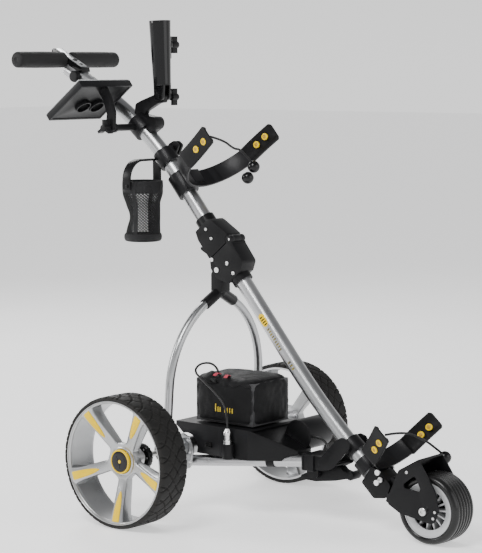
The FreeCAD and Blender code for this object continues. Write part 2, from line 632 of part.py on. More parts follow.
def make_battery_tray(tube_rooms):
    plan = [(-32, -86), (172, -86), (262, -24), (262, 24), (172, 86), (-32, 86)]
    low, high = 131.0, DECK_Z
    outer = lofted("tray_outer", [[at(x, y, low) for x, y in plan], [at(x, y, high) for x, y in plan]])
    wall = 3.0
    inside = [(-29, -83), (171, -83), (259, -22), (259, 22), (171, 83), (-29, 83)]
    inner = lofted("tray_inner", [[at(x, y, low - 1) for x, y in inside], [at(x, y, high - wall) for x, y in inside]])
    slope = side_plate("tray_slope", [(172, 198), (280, 144), (280, 210), (172, 210)], 0, "200",
                       side_frame(at(0, 0, 0)))
    under_slope = side_plate("tray_under_slope", [(168, 196.6), (262, 149.6), (262, 146), (168, 193)], 0, "172",
                             side_frame(at(0, 0, 0)))
    plan_mask = lofted("tray_mask", [[at(x, y, 100) for x, y in plan], [at(x, y, 220) for x, y in plan]])
    roof = doc.addObject("Part::Common", "tray_roof")
    roof.Base, roof.Tool = under_slope, plan_mask
    rear_cut = side_plate("tray_rear_cut", [(-60, 186), (-34, 190), (-12, 172), (28, 134), (28, 100), (-60, 100)],
                          [0, 0, 20, 6, 0, 0], "200", side_frame(at(0, 0, 0)))
    axle_room = cross_cylinder("tray_axle_room", "30", "200", at(0, 0, AXLE_Z))
    drum_room = cross_cylinder("tray_drum_room", "35", "90", at(*DRUM))
    shell = cut("tray_shell", outer, inner, slope, rear_cut)
    boss = cylinder("tray_boss", "13", "33", at(PLUG[0], PLUG[1] + 2.5, 131), UP)
    boss_trim = box("tray_boss_trim", "40", "20", "60", at(PLUG[0], -74, 150))
    boss_half = cut("tray_boss_half", boss, boss_trim)
    posts = [box("tray_post" + tag, "16", "8", "60", at(100, sign * 83.5, 160)) for tag, sign in
             (("_left", 1), ("_right", -1))]
    blank = fuse("tray_blank", shell, roof, boss_half, *posts)
    keep("battery_tray", cut("battery_tray", blank, axle_room, drum_room, *tube_rooms))


def make_battery():
    middle = at(89, 0, DECK_Z + 4 + size["battery_height"] / 2)
    keep("battery", box("battery", "Sizes.battery_length", "Sizes.battery_width", "Sizes.battery_height", middle))
    outer = box("bag_outer", "Sizes.battery_length + 14", "Sizes.battery_width + 16", "Sizes.battery_height + 12",
                middle + UP * 2)
    inner = box("bag_inner", "Sizes.battery_length + 1", "Sizes.battery_width + 1", "Sizes.battery_height + 1",
                middle)
    keep("battery_bag", cut("battery_bag", outer, inner))


PLUG = (124.5, -96.6, 164.0)


def make_plug_and_cable():
    start = at(*PLUG)
    profile = [(0, 0), (9.5, 0), (9.5, 9), (7.5, 10), (7.5, 19), (9, 20), (9, 26), (5, 34), (0, 34)]
    keep("battery_plug", turned("battery_plug", profile, 0, start, UP))
    top = start + UP * 34
    points = [top, top + UP * 26, at(110, -90, 250), at(78, -86, 274), at(42, -84, 296), at(16, -80, 312),
              at(16, -62, 326), at(36, -50, 330), at(52, -44, 320), at(56, -42, 306.5)]
    keep("battery_cable", cord("battery_cable", points, "Sizes.cable_radius"))


def make_controller():
    centre = at(*DRUM)
    shell = cross_cylinder("drum_shell", "34.7", "84", centre)
    hollow = cross_cylinder("drum_hollow", "31", "78", centre)
    keep("controller_housing", cut("controller_housing", shell, hollow))
    front = at(DRUM[0] + 34.7, 26, DRUM[2])
    points = [front, front + AHEAD * 18, at(299, 24, 173), at(311, 18, 165), at(314, 14, 152.4)]
    keep("wiring", cord("wiring", points, "Sizes.cable_radius + 0.5"))


# ---------------------------------------------------------------- bag cradles
def cradle_arc(radius, centre_off, start_angle, end_angle, thickness, name, frame, width):
    """A curved band seen along the tube; angles are from straight down, to the left positive."""
    inner, outer = radius, radius + thickness
    sections = []
    for r in (inner, outer):
        sections.append([(r * math.sin(math.radians(a)), centre_off - r * math.cos(math.radians(a)))
                         for a in (start_angle, (start_angle + end_angle) / 2, end_angle)])
    (a0, a1, a2), (b0, b1, b2) = sections
    flat = [[V(0, y, z) for y, z in (a0, a1, a2)], [V(0, y, z) for y, z in (b0, b1, b2)]]
    edges = [Part.Arc(*flat[0]).toShape(), Part.LineSegment(flat[0][2], flat[1][2]).toShape(),
             Part.Arc(*flat[1][::-1]).toShape(), Part.LineSegment(flat[1][0], flat[0][0]).toShape()]
    band = doc.addObject("Part::Feature", name)
    band.Shape = Part.Face(Part.Wire(edges)).extrude(V(width, 0, 0))
    band.Placement = frame
    return band


def cradle_frame(origin, along):
    """x along the tube, y to the left, z off the tube."""
    along = V(along).normalize()
    return FreeCAD.Placement(origin, FreeCAD.Rotation(along, LEFT, along.cross(LEFT), "XYZ"))


def make_upper_cradle():
    start = fold_point(-191, 0)
    frame = cradle_frame(start, DOWN_TUBE)
    width = size["cradle_band"]
    band = cradle_arc(108, 150, -72, 72, 6, "upper_band", frame, width)
    clamp = cylinder("upper_clamp_ring", f"{MAIN_TUBE} + 7", "52", fold_point(-212, 0), DOWN_TUBE)
    pillar = box("upper_pillar", "34", "34", "34", fold_point(-178, 27), frame.Rotation)
    seat_points = [fold_point(-20, 0), UPPER_CORNER, UPPER_END]
    room = swept("upper_clamp_room", path("upper_clamp_path", seat_points, [760]), MAIN_TUBE, seat_points)
    keep("upper_cradle", cut("upper_cradle", fuse("upper_cradle_blank", band, clamp, pillar), room))
    pads = []
    for tag, sign in (("_left", 1), ("_right", -1)):
        sections = []
        for off, side in ((112, 101), (208, 111)):
            corners = [(-2, side), (-2, side + 9), (width + 2, side + 9), (width + 2, side)]
            sections.append([V(u, sign * y, off) for u, y in corners])
        pads.append(lofted("upper_pad" + tag, sections, frame))
    keep("upper_pads", cut("upper_pads", group("upper_pad_blanks", *pads), NODES["upper_cradle"]))
    toggles = [ball(f"upper_toggle_{i}", "Sizes.toggle_radius", at(x, y, z))
               for i, (x, y, z) in enumerate(UPPER_TOGGLES)]
    keep("upper_toggles", group("upper_toggles", *toggles))


UPPER_TOGGLES = [(71.4, 42.0, 736.6), (75.7, 58.2, 760.4)]
LOWER_TOGGLES = [(583.5, 62.4, 166.6), (576.5, 62.4, 137.8)]


LOWER_HEADING = V(0.75, 0, -0.66)


def make_lower_cradle():
    heading = V(LOWER_HEADING).normalize()
    frame = cradle_frame(at(450, 0, 125), heading)
    width = size["cradle_band"]
    start = frame.multVec(V(-30, 0, 0))
    band_frame = FreeCAD.Placement(start, frame.Rotation)
    band = cradle_arc(84, 118, -50, 50, 6, "lower_band", band_frame, width)
    pillar = box("lower_pillar", "36", "30", "20", frame.multVec(V(-9, 0, 25)), frame.Rotation)
    ring = cylinder("lower_ring", f"{MAIN_TUBE} + 6", "30", at(430, 0, 142) - heading * 15, heading)
    seat_points = [fold_point(20, 0), LOWER_CORNER, LOWER_END]
    room = swept("lower_ring_room", path("lower_ring_path", seat_points, [1700]), MAIN_TUBE, seat_points)
    blank = fuse("lower_cradle_blank", band, pillar, ring)
    keep("lower_cradle", cut("lower_cradle", blank, room, NODES["fork_clamp"], NODES["fork"]))
    pads = []
    for tag, sign in (("_left", 1), ("_right", -1)):
        sections = []
        for off, side in ((58, 66), (142, 96)):
            corners = [(-2, side), (-2, side + 9), (width + 2, side + 9), (width + 2, side)]
            sections.append([V(u, sign * y, off) for u, y in corners])
        pads.append(lofted("lower_pad" + tag, sections, band_frame))
    keep("lower_pads", cut("lower_pads", group("lower_pad_blanks", *pads), NODES["lower_cradle"]))
    toggles = [ball(f"lower_toggle_{i}", "Sizes.toggle_radius", at(x, y, z))
               for i, (x, y, z) in enumerate(LOWER_TOGGLES)]
    keep("lower_toggles", group("lower_toggles", *toggles))


# ---------------------------------------------------------------- handle and controls
def make_handle():
    centre = at(-440, 0, size["handle_height"])
    bar = cross_cylinder("handle_bar_tube", "Sizes.bar_radius", "2 * Sizes.handle_half_width - 12", centre)
    heading = (UPPER_END - UPPER_CORNER).normalize()
    plug = cylinder("handle_plug", f"{MAIN_TUBE} - Sizes.tube_wall", "24", UPPER_END - heading * 24, heading)
    yoke = side_plate("handle_yoke", [(-450, 968), (-426, 966), (-425, 984), (-434, 998), (-448, 1000)], 3,
                      "22", side_frame(at(0, 0, 0)))
    upper_room = swept("handle_tube_room", path("handle_tube_path", [fold_point(-20, 0), UPPER_CORNER, UPPER_END],
                                                [760]), MAIN_TUBE, [fold_point(-20, 0), UPPER_CORNER])
    yoke_trim = cut("handle_yoke_trim", yoke, upper_room)
    keep("handle_bar", fuse("handle_bar", bar, plug, yoke_trim))
    grips = []
    grip = size["grip_radius"]
    bar_radius = size["bar_radius"]
    length = size["handle_half_width"] - 14
    for tag, sign in (("_left", 1), ("_right", -1)):
        profile = [(bar_radius, 0), (grip - 2, 0), (grip, 3), (grip, length - 6), (grip - 5, length),
                   (0, length), (0, length - 6), (bar_radius, length - 6)]
        grips.append(turned("grip" + tag, profile, [0, 0, 0, 4, 4, 0, 0, 0], centre + LEFT * sign * 14,
                            LEFT * sign))
    keep("grips", group("grips", *grips))


POD_START = (-470.0, 1026.8)
POD_END = (-378.0, 979.3)


def pod_frame():
    heading = V(POD_END[0] - POD_START[0], 0, POD_END[1] - POD_START[1])
    return side_frame(at(POD_START[0], 0, POD_START[1]), heading)


def make_controls():
    frame = pod_frame()
    body = side_plate("pod_body", [(0, 0), (102, 0), (108, -7), (104, -13), (70, -16), (52, -24), (24, -26),
                                   (4, -22), (-4, -6)],
                      [3, 3, 2, 2, 6, 6, 6, 8, 3], "26", frame)
    heading = (UPPER_END - UPPER_CORNER).normalize()
    tube_room = cylinder("pod_tube_room", MAIN_TUBE, "140", UPPER_END - heading * 100, heading)
    bar_room = cross_cylinder("pod_bar_room", "Sizes.bar_radius", "60", at(-440, 0, size["handle_height"]))
    rooms = [cylinder(f"pod_button_room_{i}", f"{radius}", "6", frame.multVec(V(along, -4, 0)),
                      frame.Rotation.multVec(LEFT)) for i, (along, radius) in enumerate([(62, 7.2), (84, 5.2)])]
    hollowed = cut("pod_hollowed", cut("pod_on_tube", body, tube_room), bar_room)
    keep("control_pod", cut("control_pod", cut("pod_on_yoke", hollowed, NODES["handle_bar"]), *rooms))
    off = frame.Rotation.multVec(LEFT)
    keep("power_button", cylinder("power_button", "7", "4.6", frame.multVec(V(62, -2.4, 0)), off))
    keep("timer_button", cylinder("timer_button", "5", "4.4", frame.multVec(V(84, -2.4, 0)), off))
    dial_start = at(-391, -size["main_tube_radius"] - 0.5, 960)
    dial_profile = [(0, 0), (13.5, 0), (13.5, 9), (12, 13), (0, 13)]
    keep("speed_dial", turned("speed_dial", dial_profile, [0, 0, 1, 2, 0], dial_start, RIGHT))


# ---------------------------------------------------------------- scorecard, umbrella and cup
SCORE_JOINT = (-206.0, 846.0)
SCORE_SIDE = -105.0
SCORE_TILT = 37.0
UMBRELLA_PIVOT = (-142.0, 0.0, 914.0)
CUP_PLACE = (-150.0, -60.0, 727.0)
CUP_PIVOT_DROP = 10.0


def upper_tube_room(name, radius):
    """The upper tube's own space, for what clamps around it."""
    points = [fold_point(-20, 0), UPPER_CORNER, UPPER_END]
    return swept(name, path(name + "_path", points, [760]), radius, points)


def wing_knob(name, start, direction, wings, reach):
    """A clamping knob: a hub with wings, and a stud that reaches back through its joint."""
    hub = cylinder(name + "_hub", "8", "20", start, direction)
    stud = cylinder(name + "_stud", "3.9", f"{reach}", start - V(direction) * reach, direction)
    side = V(direction).cross(UP)
    blades = []
    for index in range(wings):
        angle = 2 * math.pi * index / wings + math.pi / 2
        radial = side * math.cos(angle) + UP * math.sin(angle)
        turn = FreeCAD.Rotation(V(direction), radial, V(direction).cross(radial), "XYZ")
        blades.append(box(f"{name}_wing_{index}", "16", "15", "6",
                          start + V(direction) * 11 + radial * 11.5, turn))
    return fuse(name, hub, stud, *blades)


def make_accessory_clamp():
    heading = V(0.765, 0, -0.644)
    ring = cylinder("accessory_ring", f"{MAIN_TUBE} + 8", "36", at(-206.6, 0, 846.4) - heading * 18, heading)
    boss = cross_cylinder("accessory_boss", "15", "30", at(-164, 0, 855))
    boss_web = side_plate("accessory_web", [(-206, 846), (-200, 876), (-160, 869), (-154, 843), (-180, 826)],
                          0, "26", side_frame(at(0, 0, 0)))
    side_arm = cylinder("accessory_arm", "8", "73", at(SCORE_JOINT[0], -18, SCORE_JOINT[1]), RIGHT)
    arm_end = cylinder("accessory_arm_end", "11", "8", at(SCORE_JOINT[0], -90, SCORE_JOINT[1]), RIGHT)
    mast = side_plate("accessory_mast", [(-222, 866), (-196, 862), (-186, 882), (-150, 900), (-134, 902),
                                         (-130, 916), (-142, 926), (-158, 920), (-200, 906), (-218, 898)],
                      [2, 2, 8, 4, 4, 5, 5, 6, 8, 8], "14", side_frame(at(0, 0, 0)))
    mast_hole = cross_cylinder("accessory_mast_hole", "4", "40", at(*UMBRELLA_PIVOT))
    stud_hole = cylinder("accessory_stud_hole", "4", "30", at(SCORE_JOINT[0], -72, SCORE_JOINT[1]), RIGHT)
    blank = fuse("accessory_blank", ring, boss, boss_web, side_arm, arm_end, mast)
    keep("accessory_clamp", cut("accessory_clamp", blank, upper_tube_room("accessory_room", MAIN_TUBE),
                                mast_hole, stud_hole))
    keep("accessory_knob", wing_knob("accessory_knob", at(SCORE_JOINT[0], -110, SCORE_JOINT[1]), RIGHT, 3, 30))


def make_scorecard():
    slope = math.radians(SCORE_TILT)
    card = cradle_frame(at(-267, SCORE_SIDE, 905), V(math.cos(slope), 0, math.sin(slope)))
    plate = box("score_plate", "120", "160", "7", card.multVec(V(0, 0, 0)), card.Rotation)
    rim = box("score_rim", "128", "168", "16", card.multVec(V(0, 0, 3)), card.Rotation)
    rim_room = box("score_rim_room", "118", "158", "40", card.multVec(V(0, 0, 3)), card.Rotation)
    cups = [ball(f"score_cup_{i}", "19", card.multVec(V(-8, side, -6))) for i, side in enumerate((-22, 22))]
    cup_rooms = [ball(f"score_cup_room_{i}", "16.5", card.multVec(V(-8, side, -9)))
                 for i, side in enumerate((-22, 22))]
    cup_trim = box("score_cup_trim", "130", "170", "40", card.multVec(V(0, 0, 20)), card.Rotation)
    cup_mouth = box("score_cup_mouth", "130", "170", "40", card.multVec(V(0, 0, -32)), card.Rotation)
    cups_cut = cut("score_cups", fuse("score_cup_pair", *cups), cup_trim, cup_mouth)
    arm = side_plate("score_arm", [(-217, 842), (-206, 834), (-195, 842), (-193, 880), (-206, 916), (-222, 942),
                                   (-240, 930), (-224, 908), (-213, 878)],
                     [8, 8, 8, 16, 10, 2, 2, 10, 12], "10.6", side_frame(at(0, SCORE_SIDE + 1.4, 0)))
    above_plate = box("score_arm_trim", "160", "30", "40", card.multVec(V(30, 0, 23)), card.Rotation)
    joint_hole = cross_cylinder("score_joint_hole", "4", "40", at(SCORE_JOINT[0], SCORE_SIDE, SCORE_JOINT[1]))
    blank = fuse("score_blank", plate, cut("score_rim_cut", rim, rim_room), cups_cut,
                 cut("score_arm_cut", arm, above_plate))
    keep("scorecard_tray", cut("scorecard_tray", blank, joint_hole, *cup_rooms))
    sheet = box("scorecard_lid_sheet", "124", "164", "3", card.multVec(V(0, 0, 12.8)), card.Rotation)
    hinge_edge = cylinder("scorecard_lid_edge", "1.5", "164", card.multVec(V(62, -82, 12.8)), LEFT)
    keep("scorecard_lid", fuse("scorecard_lid", sheet, hinge_edge))


def make_umbrella():
    foot = at(-142.3, 0, 940)
    axis = V(-6.5, 0, 151).normalize()
    lower = cone("umbrella_lower", "20", "22", "70", foot, axis)
    upper = cone("umbrella_upper", "22", "24.5", "76", foot + axis * 70, axis)
    bore = cylinder("umbrella_bore", "Sizes.umbrella_bore_radius", "150", foot + axis * 14, axis)
    ears = [side_plate("umbrella_ear" + tag, [(-155, 906), (-129, 906), (-127, 946), (-157, 946)], [10, 10, 0, 0],
                       "6", side_frame(at(0, side, 0))) for tag, side in (("_left", 10.4), ("_right", -10.4))]
    ear_hole = cross_cylinder("umbrella_ear_hole", "4", "40", at(*UMBRELLA_PIVOT))
    knob_boss = cylinder("umbrella_boss", "8", "14", foot + axis * 92 + LEFT * 20, LEFT)
    knob_hole = cylinder("umbrella_knob_hole", "4", "30", foot + axis * 92 + LEFT * 10, LEFT)
    pad = box("umbrella_pad", "18", "6", "50", foot + axis * 86 + LEFT * 23.5)
    blank = fuse("umbrella_blank", lower, upper, *ears, knob_boss, pad)
    keep("umbrella_holder", cut("umbrella_holder", blank, bore, ear_hole, knob_hole))
    keep("umbrella_knob", wing_knob("umbrella_knob", foot + axis * 92 + LEFT * 36, LEFT, 2, 16))
    keep("umbrella_pivot_knob",
         wing_knob("umbrella_pivot_knob", at(*UMBRELLA_PIVOT) + LEFT * 30, LEFT, 2, 46))


def make_cup():
    heading = DOWN_TUBE
    ring = cylinder("cup_ring", f"{MAIN_TUBE} + 7", "36", at(-128.4, 0, 776.6) - heading * 18, heading)
    ears = [side_plate("cup_ear" + tag, [(-146, 782), (-120, 782), (-108, 806), (-122, 816), (-138, 808)],
                       [2, 2, 6, 6, 6], "6", side_frame(at(0, side, 0)))
            for tag, side in (("_inner", 19), ("_outer", 31))]
    screw = cylinder("cup_screw", "4", "30", at(-124, 14, 802), LEFT)
    clamp_blank = fuse("cup_clamp_blank", ring, *ears, screw)
    keep("cup_clamp", cut("cup_clamp", clamp_blank, upper_tube_room("cup_ring_room", MAIN_TUBE)))
    x, y, z = CUP_PLACE
    gap = size["cup_radius"] + 3.4
    arch_frame = FreeCAD.Placement(at(x - 2, 0, 0), FreeCAD.Rotation(LEFT, UP, AHEAD, "XYZ"))
    near, far, foot, crown = y - gap, y + gap, z - 18, z + 49
    arch = side_plate("cup_arch", [(near - 4, foot), (near - 4, crown), (far + 4, crown), (far + 4, foot),
                                   (far, foot), (far, crown - 4.5), (near, crown - 4.5), (near, foot)],
                      [1, 44, 6, 1, 1, 2, 40, 1], "22", arch_frame)
    pivot = at(x, y, z - CUP_PIVOT_DROP)
    pin_room = cross_cylinder("cup_pin_room", "4.05", "160", pivot)
    tube_room = upper_tube_room("cup_yoke_room", f"{MAIN_TUBE} + 7")
    keep("cup_yoke", cut("cup_yoke", arch, pin_room, tube_room))
    radius = size["cup_radius"]
    depth = size["cup_depth"]
    wall = 2.0
    profile = [(0, -depth), (radius - 3, -depth), (radius - 3, -depth + 14), (radius - 8, -depth + 18),
               (radius - 8, -20), (radius, -16), (radius, 0), (radius - wall, 0), (radius - wall, -16),
               (radius - 8 - wall, -21), (radius - 8 - wall, -depth + 8), (0, -depth + 8)]
    basket = turned("cup_basket", profile, 0, at(x, y, z), UP)
    studs = [cylinder(f"cup_stud_{i}", "4", "9.5", pivot + LEFT * sign * (radius - 1), LEFT * sign)
             for i, sign in enumerate((1, -1))]
    keep("mesh_cup", fuse("mesh_cup", basket, *studs))


# ---------------------------------------------------------------- bungee cords
def make_bungees():
    upper = cradle_frame(fold_point(-191, 0), DOWN_TUBE)
    reach = size["toggle_radius"] + 3
    far_ball = at(*UPPER_TOGGLES[1])
    end = far_ball + V(-4, -6, 15).normalize() * reach
    points = [upper.multVec(V(20, -98.5, 196)), upper.multVec(V(27, -52, 190)), upper.multVec(V(36, -4, 168)),
              end + V(-10, -24, 30), end]
    keep("upper_bungee", cord("upper_bungee", points, "Sizes.bungee_radius"))
    lower = cradle_frame(at(450, 0, 125), LOWER_HEADING)
    far_ball = at(*LOWER_TOGGLES[0])
    end = far_ball + V(-8, -4, 12).normalize() * reach
    points = [lower.multVec(V(-8, -84, 134)), lower.multVec(V(2, -40, 146)), lower.multVec(V(22, 2, 140)),
              end + V(-18, -22, 24), end]
    keep("lower_bungee", cord("lower_bungee", points, "Sizes.bungee_radius"))


# ---------------------------------------------------------------- the whole trolley
make_main_tubes()
make_fold()
make_legs()
make_axle()
for wheel_tag, wheel_sign in (("_left", 1), ("_right", -1)):
    make_rear_wheel(wheel_tag, wheel_sign)
make_front_wheel()
make_fork()
make_fork_clamp()
make_fasteners()
make_front_bracket()
make_battery_tray(make_lower_frame())
make_battery()
make_plug_and_cable()
make_controller()
make_upper_cradle()
make_lower_cradle()
make_handle()
make_controls()
make_accessory_clamp()
make_scorecard()
make_umbrella()
make_cup()
make_bungees()
doc.recompute()

failed = [o.Name for o in doc.Objects if "Invalid" in o.State or "Error" in o.State]
if failed:
    raise RuntimeError(f"objects failed to build: {failed}")
for node, feature in NODES.items():
    if feature.Shape.isNull() or not feature.Shape.isValid() or not feature.Shape.Solids:
        raise RuntimeError(f"{node} has no valid solid")
os.makedirs("parts", exist_ok=True)
for node, feature in NODES.items():
    feature.Shape.exportStep(f"parts/{node}.step")
print(len(NODES), "sub-parts written")
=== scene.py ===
"""An electric golf trolley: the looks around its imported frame.

Lengths are millimetres measured from the rear axle (x forward, y left, z up) until `row` turns them into the
frame's metres. The cords' routes are in the frame's metres already.
"""
import json
import math

import bmesh
import bpy
from mathutils import Matrix, Vector, noise


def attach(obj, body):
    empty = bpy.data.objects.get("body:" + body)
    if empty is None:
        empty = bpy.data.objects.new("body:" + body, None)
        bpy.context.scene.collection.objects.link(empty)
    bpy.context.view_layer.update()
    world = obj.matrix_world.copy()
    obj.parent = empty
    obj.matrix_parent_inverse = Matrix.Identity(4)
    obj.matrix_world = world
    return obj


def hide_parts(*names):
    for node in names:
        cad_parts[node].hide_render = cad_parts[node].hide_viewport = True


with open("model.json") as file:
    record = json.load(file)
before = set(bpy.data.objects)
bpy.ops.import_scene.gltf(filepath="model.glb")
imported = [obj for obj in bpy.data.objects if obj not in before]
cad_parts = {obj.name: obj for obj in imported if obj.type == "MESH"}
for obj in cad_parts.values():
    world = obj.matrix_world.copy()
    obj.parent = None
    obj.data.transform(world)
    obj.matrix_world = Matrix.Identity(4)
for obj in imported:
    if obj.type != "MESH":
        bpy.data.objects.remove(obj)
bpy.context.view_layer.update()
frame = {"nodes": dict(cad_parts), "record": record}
NODES = frame["nodes"]
AXLE_X = 100.26
TAU = 2 * math.pi


def row(point):
    """A point in millimetres from the axle, in the frame's metres."""
    return Vector(((point[0] - AXLE_X) / 1000, point[1] / 1000, point[2] / 1000))


# --- camera
def place_camera():
    azimuth, elevation, roll = math.radians(38.85), math.radians(6.265), math.radians(-0.12)
    target, distance = Vector((-0.01471, 0, 0.5206)), 4.274
    away = Vector((math.sin(azimuth) * math.cos(elevation), -math.cos(azimuth) * math.cos(elevation),
                   math.sin(elevation)))
    data = bpy.data.cameras.new("view")
    data.lens, data.sensor_width = 125.7, 36
    camera = bpy.data.objects.new("view", data)
    bpy.context.scene.collection.objects.link(camera)
    level = away.to_track_quat("Z", "Y")
    camera.rotation_euler = (level @ Matrix.Rotation(roll, 3, "Z").to_quaternion()).to_euler()
    camera.location = target + away * distance
    bpy.context.scene.camera = camera


place_camera()


# --- materials
SOCKETS = {"metal": "Metallic", "coat": "Coat Weight", "coat_rough": "Coat Roughness",
           "sheen": "Sheen Weight", "specular": "Specular IOR Level"}


class Nodes:
    """A short way to write a node tree around one Principled shader."""

    def __init__(self, name):
        self.material = bpy.data.materials.new(name)
        self.material.use_nodes = True
        self.tree = self.material.node_tree
        self.shader = self.tree.nodes["Principled BSDF"]
        self.place = self.add("ShaderNodeTexCoord").outputs["Object"]

    def add(self, kind, **settings):
        node = self.tree.nodes.new(kind)
        for key, value in settings.items():
            setattr(node, key, value)
        return node

    def link(self, source, target):
        self.tree.links.new(source, target)

    def put(self, socket, value):
        self.shader.inputs[socket].default_value = value

    def stretched(self, scale):
        mapping = self.add("ShaderNodeMapping")
        mapping.inputs["Scale"].default_value = scale
        self.link(self.place, mapping.inputs["Vector"])
        return mapping.outputs["Vector"]

    def noise(self, scale, detail=3.0, vector=None, rough=0.55):
        node = self.add("ShaderNodeTexNoise")
        node.inputs["Scale"].default_value = scale
        node.inputs["Detail"].default_value = detail
        node.inputs["Roughness"].default_value = rough
        self.link(vector or self.place, node.inputs["Vector"])
        return node.outputs["Fac"]

    def cells(self, scale):
        node = self.add("ShaderNodeTexVoronoi", feature="F1")
        node.inputs["Scale"].default_value = scale
        self.link(self.place, node.inputs["Vector"])
        return node.outputs["Distance"]

    def ramp(self, fac, stops):
        node = self.add("ShaderNodeValToRGB")
        elements = node.color_ramp.elements
        while len(elements) < len(stops):
            elements.new(0.5)
        for element, (position, colour) in zip(elements, stops):
            element.position = position
            element.color = (*colour, 1)
        self.link(fac, node.inputs["Fac"])
        return node.outputs["Color"]

    def range(self, fac, low, high, start=0.3, end=0.7):
        node = self.add("ShaderNodeMapRange")
        for socket, value in (("From Min", start), ("From Max", end), ("To Min", low), ("To Max", high)):
            node.inputs[socket].default_value = value
        self.link(fac, node.inputs["Value"])
        return node.outputs["Result"]

    def mix(self, fac, first, second):
        node = self.add("ShaderNodeMix", data_type="RGBA")
        self.link(fac, node.inputs[0])
        for socket, value in ((node.inputs[6], first), (node.inputs[7], second)):
            if isinstance(value, tuple):
                socket.default_value = (*value, 1)
            else:
                self.link(value, socket)
        return node.outputs[2]

    def bump(self, height, distance, strength=1.0, under=None):
        node = self.add("ShaderNodeBump")
        node.inputs["Strength"].default_value = strength
        node.inputs["Distance"].default_value = distance
        self.link(height, node.inputs["Height"])
        if under is not None:
            self.link(under, node.inputs["Normal"])
        return node.outputs["Normal"]

    def edges(self, start=0.52, end=0.6):
        """1 along convex edges, 0 elsewhere."""
        return self.range(self.add("ShaderNodeNewGeometry").outputs["Pointiness"], 0.0, 1.0, start, end)

    def finish(self, colour, rough, normal=None, **numbers):
        """Links what varies over the surface, and sets what is the same all over it."""
        for socket, source in (("Base Color", colour), ("Roughness", rough), ("Normal", normal)):
            if source is not None:
                self.link(source, self.shader.inputs[socket])
        for name, value in numbers.items():
            self.put(SOCKETS[name], value)
        return self.material


def surface(name, dark, light, rough, metal=0.0, patch=14, grain=900, bump=0.00006, coat=0.0, coat_rough=0.15,
            worn=None, specular=0.5, stretch=None):
    """A finish with patchy colour and gloss, a fine grain, and an optional paler tint along the edges that is
    part wear and part painted highlight.
    """
    n = Nodes(name)
    patches = n.noise(patch, 5)
    fine = n.noise(grain, 2, n.stretched(stretch) if stretch else None)
    colour = n.ramp(patches, [(0.3, dark), (0.7, light)])
    colour = n.mix(n.range(fine, 0.0, 0.35), colour, tuple(min(1, c * 1.25 + 0.002) for c in light))
    # worn is the colour along convex edges: part wear, part painted highlight on the ridges
    if worn:
        colour = n.mix(n.edges(), colour, worn)
    spread = n.add("ShaderNodeMath", operation="ADD")
    n.link(n.range(patches, rough - 0.04, rough + 0.05), spread.inputs[0])
    n.link(n.range(fine, -0.02, 0.03), spread.inputs[1])
    return n.finish(colour, spread.outputs[0], n.bump(fine, bump, 0.6), metal=metal, coat=coat,
                    coat_rough=coat_rough, specular=specular)


def leather(name):
    """Soft grained black bag material, with creases a little paler along their ridges, part wear and part
    painted highlight.
    """
    n = Nodes(name)
    grain, folds = n.cells(420), n.noise(22, 6, rough=0.62)
    colour = n.ramp(folds, [(0.25, (0.0025, 0.0025, 0.003)), (0.75, (0.006, 0.006, 0.0065))])
    # paler convex ridges: part wear, part painted highlight
    colour = n.mix(n.edges(0.52, 0.62), colour, (0.009, 0.009, 0.0095))
    return n.finish(colour, n.range(grain, 0.48, 0.66, 0.0, 0.8),
                    n.bump(grain, 0.0002, 0.5, n.bump(folds, 0.002, 0.4)),
                    sheen=0.02, specular=0.15, coat=0.03, coat_rough=0.3)


def foam(name):
    """Closed-cell foam with fine dark pores."""
    n = Nodes(name)
    pores, tone = n.cells(900), n.noise(30, 4)
    colour = n.ramp(tone, [(0.3, (0.004, 0.004, 0.0045)), (0.7, (0.009, 0.009, 0.0095))])
    colour = n.mix(n.range(pores, 0.35, 0.0, 0.0, 0.45), colour, (0.002, 0.002, 0.002))
    return n.finish(colour, n.range(tone, 0.6, 0.8), n.bump(pores, 0.0003, 0.6), sheen=0.05, specular=0.3)


def woven(name, dark, light, scale, sheen):
    """Braided or woven threads, as crossing waves."""
    n = Nodes(name)
    height = n.add("ShaderNodeMath", operation="MAXIMUM")
    for turn, target in zip((0.7, -0.7), height.inputs):
        mapping = n.add("ShaderNodeMapping")
        mapping.inputs["Rotation"].default_value = (turn, turn * 0.5, turn)
        n.link(n.place, mapping.inputs["Vector"])
        wave = n.add("ShaderNodeTexWave", wave_type="BANDS", bands_direction="X")
        wave.inputs["Scale"].default_value = scale
        wave.inputs["Distortion"].default_value = 0.6
        n.link(mapping.outputs["Vector"], wave.inputs["Vector"])
        n.link(wave.outputs["Fac"], target)
    threads = height.outputs[0]
    return n.finish(n.ramp(threads, [(0.2, dark), (0.9, light)]), n.range(n.noise(60), 0.62, 0.8),
                    n.bump(threads, 0.0004, 0.7), sheen=sheen, specular=0.3)


def rubber(name):
    """Tyre rubber: dusty in the grooves, slightly polished on the crown."""
    n = Nodes(name)
    dust, grit = n.noise(45, 6, rough=0.65), n.noise(1300, 2)
    colour = n.ramp(dust, [(0.3, (0.006, 0.0058, 0.0055)), (0.72, (0.014, 0.0135, 0.0128))])
    colour = n.mix(n.edges(0.5, 0.58), colour, (0.02, 0.019, 0.018))
    return n.finish(colour, n.range(dust, 0.52, 0.75), n.bump(grit, 0.0001, 0.6), specular=0.2)


def badge(name):
    """Dark print with worn yellow flecks."""
    n = Nodes(name)
    flecks, worn = n.cells(650), n.noise(300, 4)
    dark = n.ramp(worn, [(0.3, (0.02, 0.02, 0.012)), (0.7, (0.05, 0.045, 0.02))])
    colour = n.mix(n.range(flecks, 1.0, 0.0, 0.28, 0.4), dark, (0.62, 0.46, 0.02))
    return n.finish(colour, n.range(worn, 0.28, 0.42), coat=0.3)
